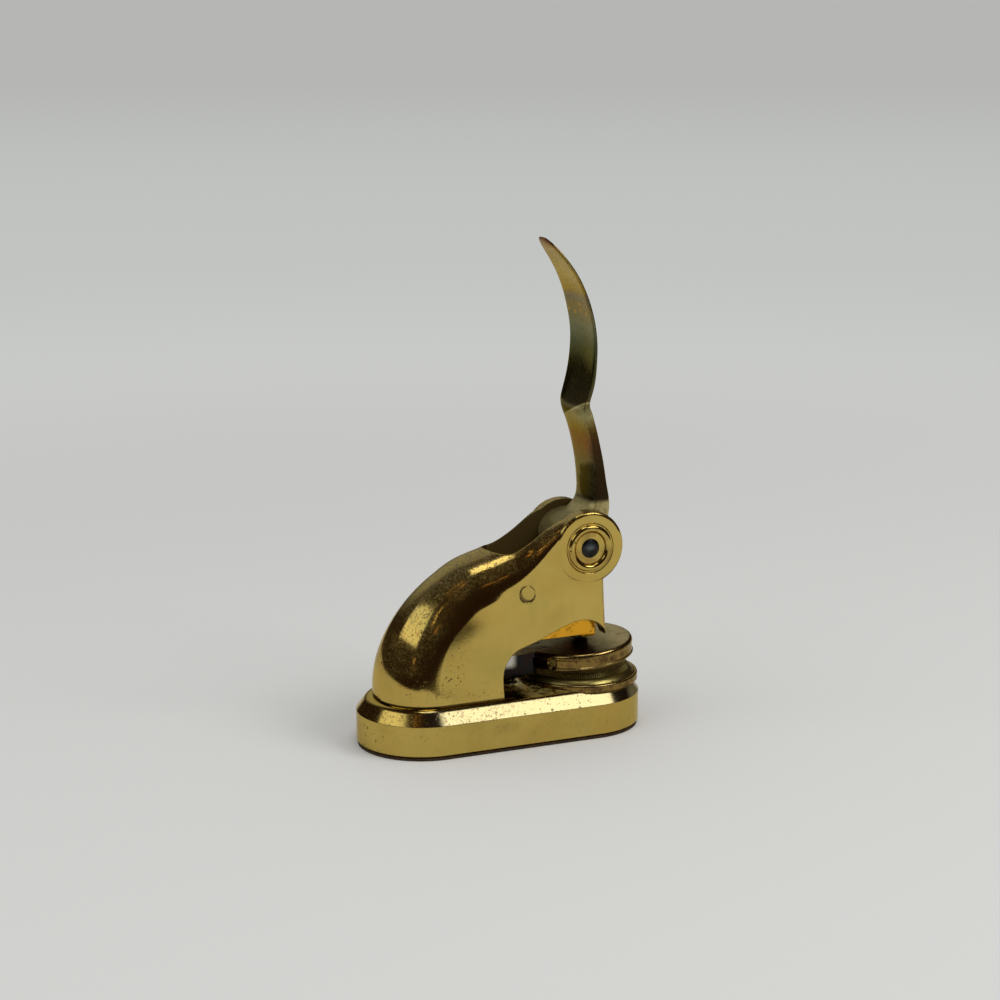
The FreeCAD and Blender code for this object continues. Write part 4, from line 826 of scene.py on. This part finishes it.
# Soft lamps: name, turn from +Y towards +X and rise in degrees, distance, width and height in metres,
# radiance and colour
LAMPS = [("softbox", 137, 45, 1.5, 0.78, 0.56, 4.4, (1.0, 1.0, 1.0)),
         ("window", -100, 39, 1.6, 1.6, 0.62, 1.25, (0.97, 1.0, 1.0)),
         ("top", 175, 78, 1.6, 0.5, 0.5, 2.4, (1.0, 1.0, 1.0))]
LAMP_AIM = (0.0, 0.0, 0.03)
# Glows in the dim room: turn, rise, inner and outer angle in degrees, colour as radiance. The first is a
# pale wall, the others are small lamps.
GLOWS = [(12, 38, 20, 38, rgb(176, 176, 168)), (-150.4, 38.7, 0.5, 1.5, (3.2, 2.4, 1.4, 1.0)),
         (-133.0, 16.0, 0.5, 1.4, (3.0, 2.0, 1.0, 1.0)), (-150.0, 50.0, 0.8, 2.2, (1.2, 0.55, 0.2, 1.0)),
         (173.0, 29.0, 0.4, 1.5, (0.8, 0.36, 0.14, 1.0)), (-139.0, 55.4, 0.5, 1.5, (2.4, 1.4, 0.6, 1.0)),
         (-160.0, 31.0, 0.5, 1.5, (1.8, 0.9, 0.35, 1.0))]


def direction(turn, rise):
    """Unit vector at a turn from +Y towards +X and a rise, both in degrees."""
    turn, rise = math.radians(turn), math.radians(rise)
    return (math.sin(turn) * math.cos(rise), math.cos(turn) * math.cos(rise), math.sin(rise))


def make_lamp(name, turn, rise, distance, width, height, radiance, colour):
    """Soft rectangular lamp; its power is pi times its area times the radiance."""
    data = bpy.data.lights.new(name, "AREA")
    data.shape = "RECTANGLE"
    data.size = width
    data.size_y = height
    data.energy = math.pi * width * height * radiance
    data.color = colour
    lamp = add_object(name, data)
    spot = [start + distance * part for start, part in zip(LAMP_AIM, direction(turn, rise))]
    lamp.location = spot
    lamp.rotation_euler = turn_to(spot, LAMP_AIM)


def glow(t, way, turn, rise, inner, outer):
    """Mask of the sky round one direction: one inside the inner angle, zero past the outer, in degrees."""
    nearness = t.measure("DOT_PRODUCT", way, direction(turn, rise))
    return t.span(nearness, math.cos(math.radians(outer)), math.cos(math.radians(inner)))


def make_world():
    """Even light for the diffuse part; reflections see a dim room with a pale wall and small lamps."""
    world = bpy.data.worlds.new("room")
    world.use_nodes = True
    bpy.context.scene.world = world
    t = Tree(world.node_tree)
    t.tree.nodes.clear()
    way = t.node("ShaderNodeTexCoord").outputs["Generated"]
    seen = ROOM_DARK
    for turn, rise, inner, outer, colour in GLOWS:
        seen = t.mix(glow(t, way, turn, rise, inner, outer), seen, colour)
    rays = t.node("ShaderNodeLightPath").outputs
    sharp = t.largest(rays["Is Glossy Ray"], rays["Is Transmission Ray"])
    colour = t.mix(rays["Is Camera Ray"], t.mix(sharp, ROOM_LIGHT, seen), PALE)
    background = t.node("ShaderNodeBackground", {"Color": colour, "Strength": 1.0})
    t.node("ShaderNodeOutputWorld", {0: background.outputs[0]})


def make_pieces():
    """The three pieces that stand for CAD nodes, and a finish on every node."""
    plate = body_plate()
    slim_casting().data.materials.append(plate)
    dress(plate, "body", "ram_guide_pin")
    dress(base_plate(), "base")
    dress(bush_plate(), "near_bush", "far_bush")
    dress(lever_plate(), "lever")
    dress(plain_metal("ram_brass", rgb(226, 164, 44), 0.16, 0.05), "ram")
    dress(arm_steel(), "die_arm")
    grey_steel = plain_metal("grey_steel", rgb(120, 116, 110), 0.25)
    coil_spring().data.materials.append(grey_steel)
    dress(grey_steel, "arm_spring", "cam_plate", "pressure_screw")
    dress(disc_plate(), "upper_holder", "lower_holder")
    olive_brass = counter_plate()
    fluted_die().data.materials.append(olive_brass)
    dress(olive_brass, "counter_die", "die_set_screw")
    dress(plain_metal("die_steel", rgb(120, 110, 90), 0.3), "upper_die")
    dress(plain_metal("dark_steel", rgb(58, 56, 60), 0.3), "arm_pin", "body_screws",
          "lower_holder_screws", "upper_holder_screws")
    dress(pin_steel(), "lever_pin")
    dress(felt(), "base_pad")


def main():
    bpy.context.scene.view_settings.view_transform = "Standard"
    make_camera()
    make_floor()
    make_world()
    for lamp in LAMPS:
        make_lamp(*lamp)
    make_pieces()


main()
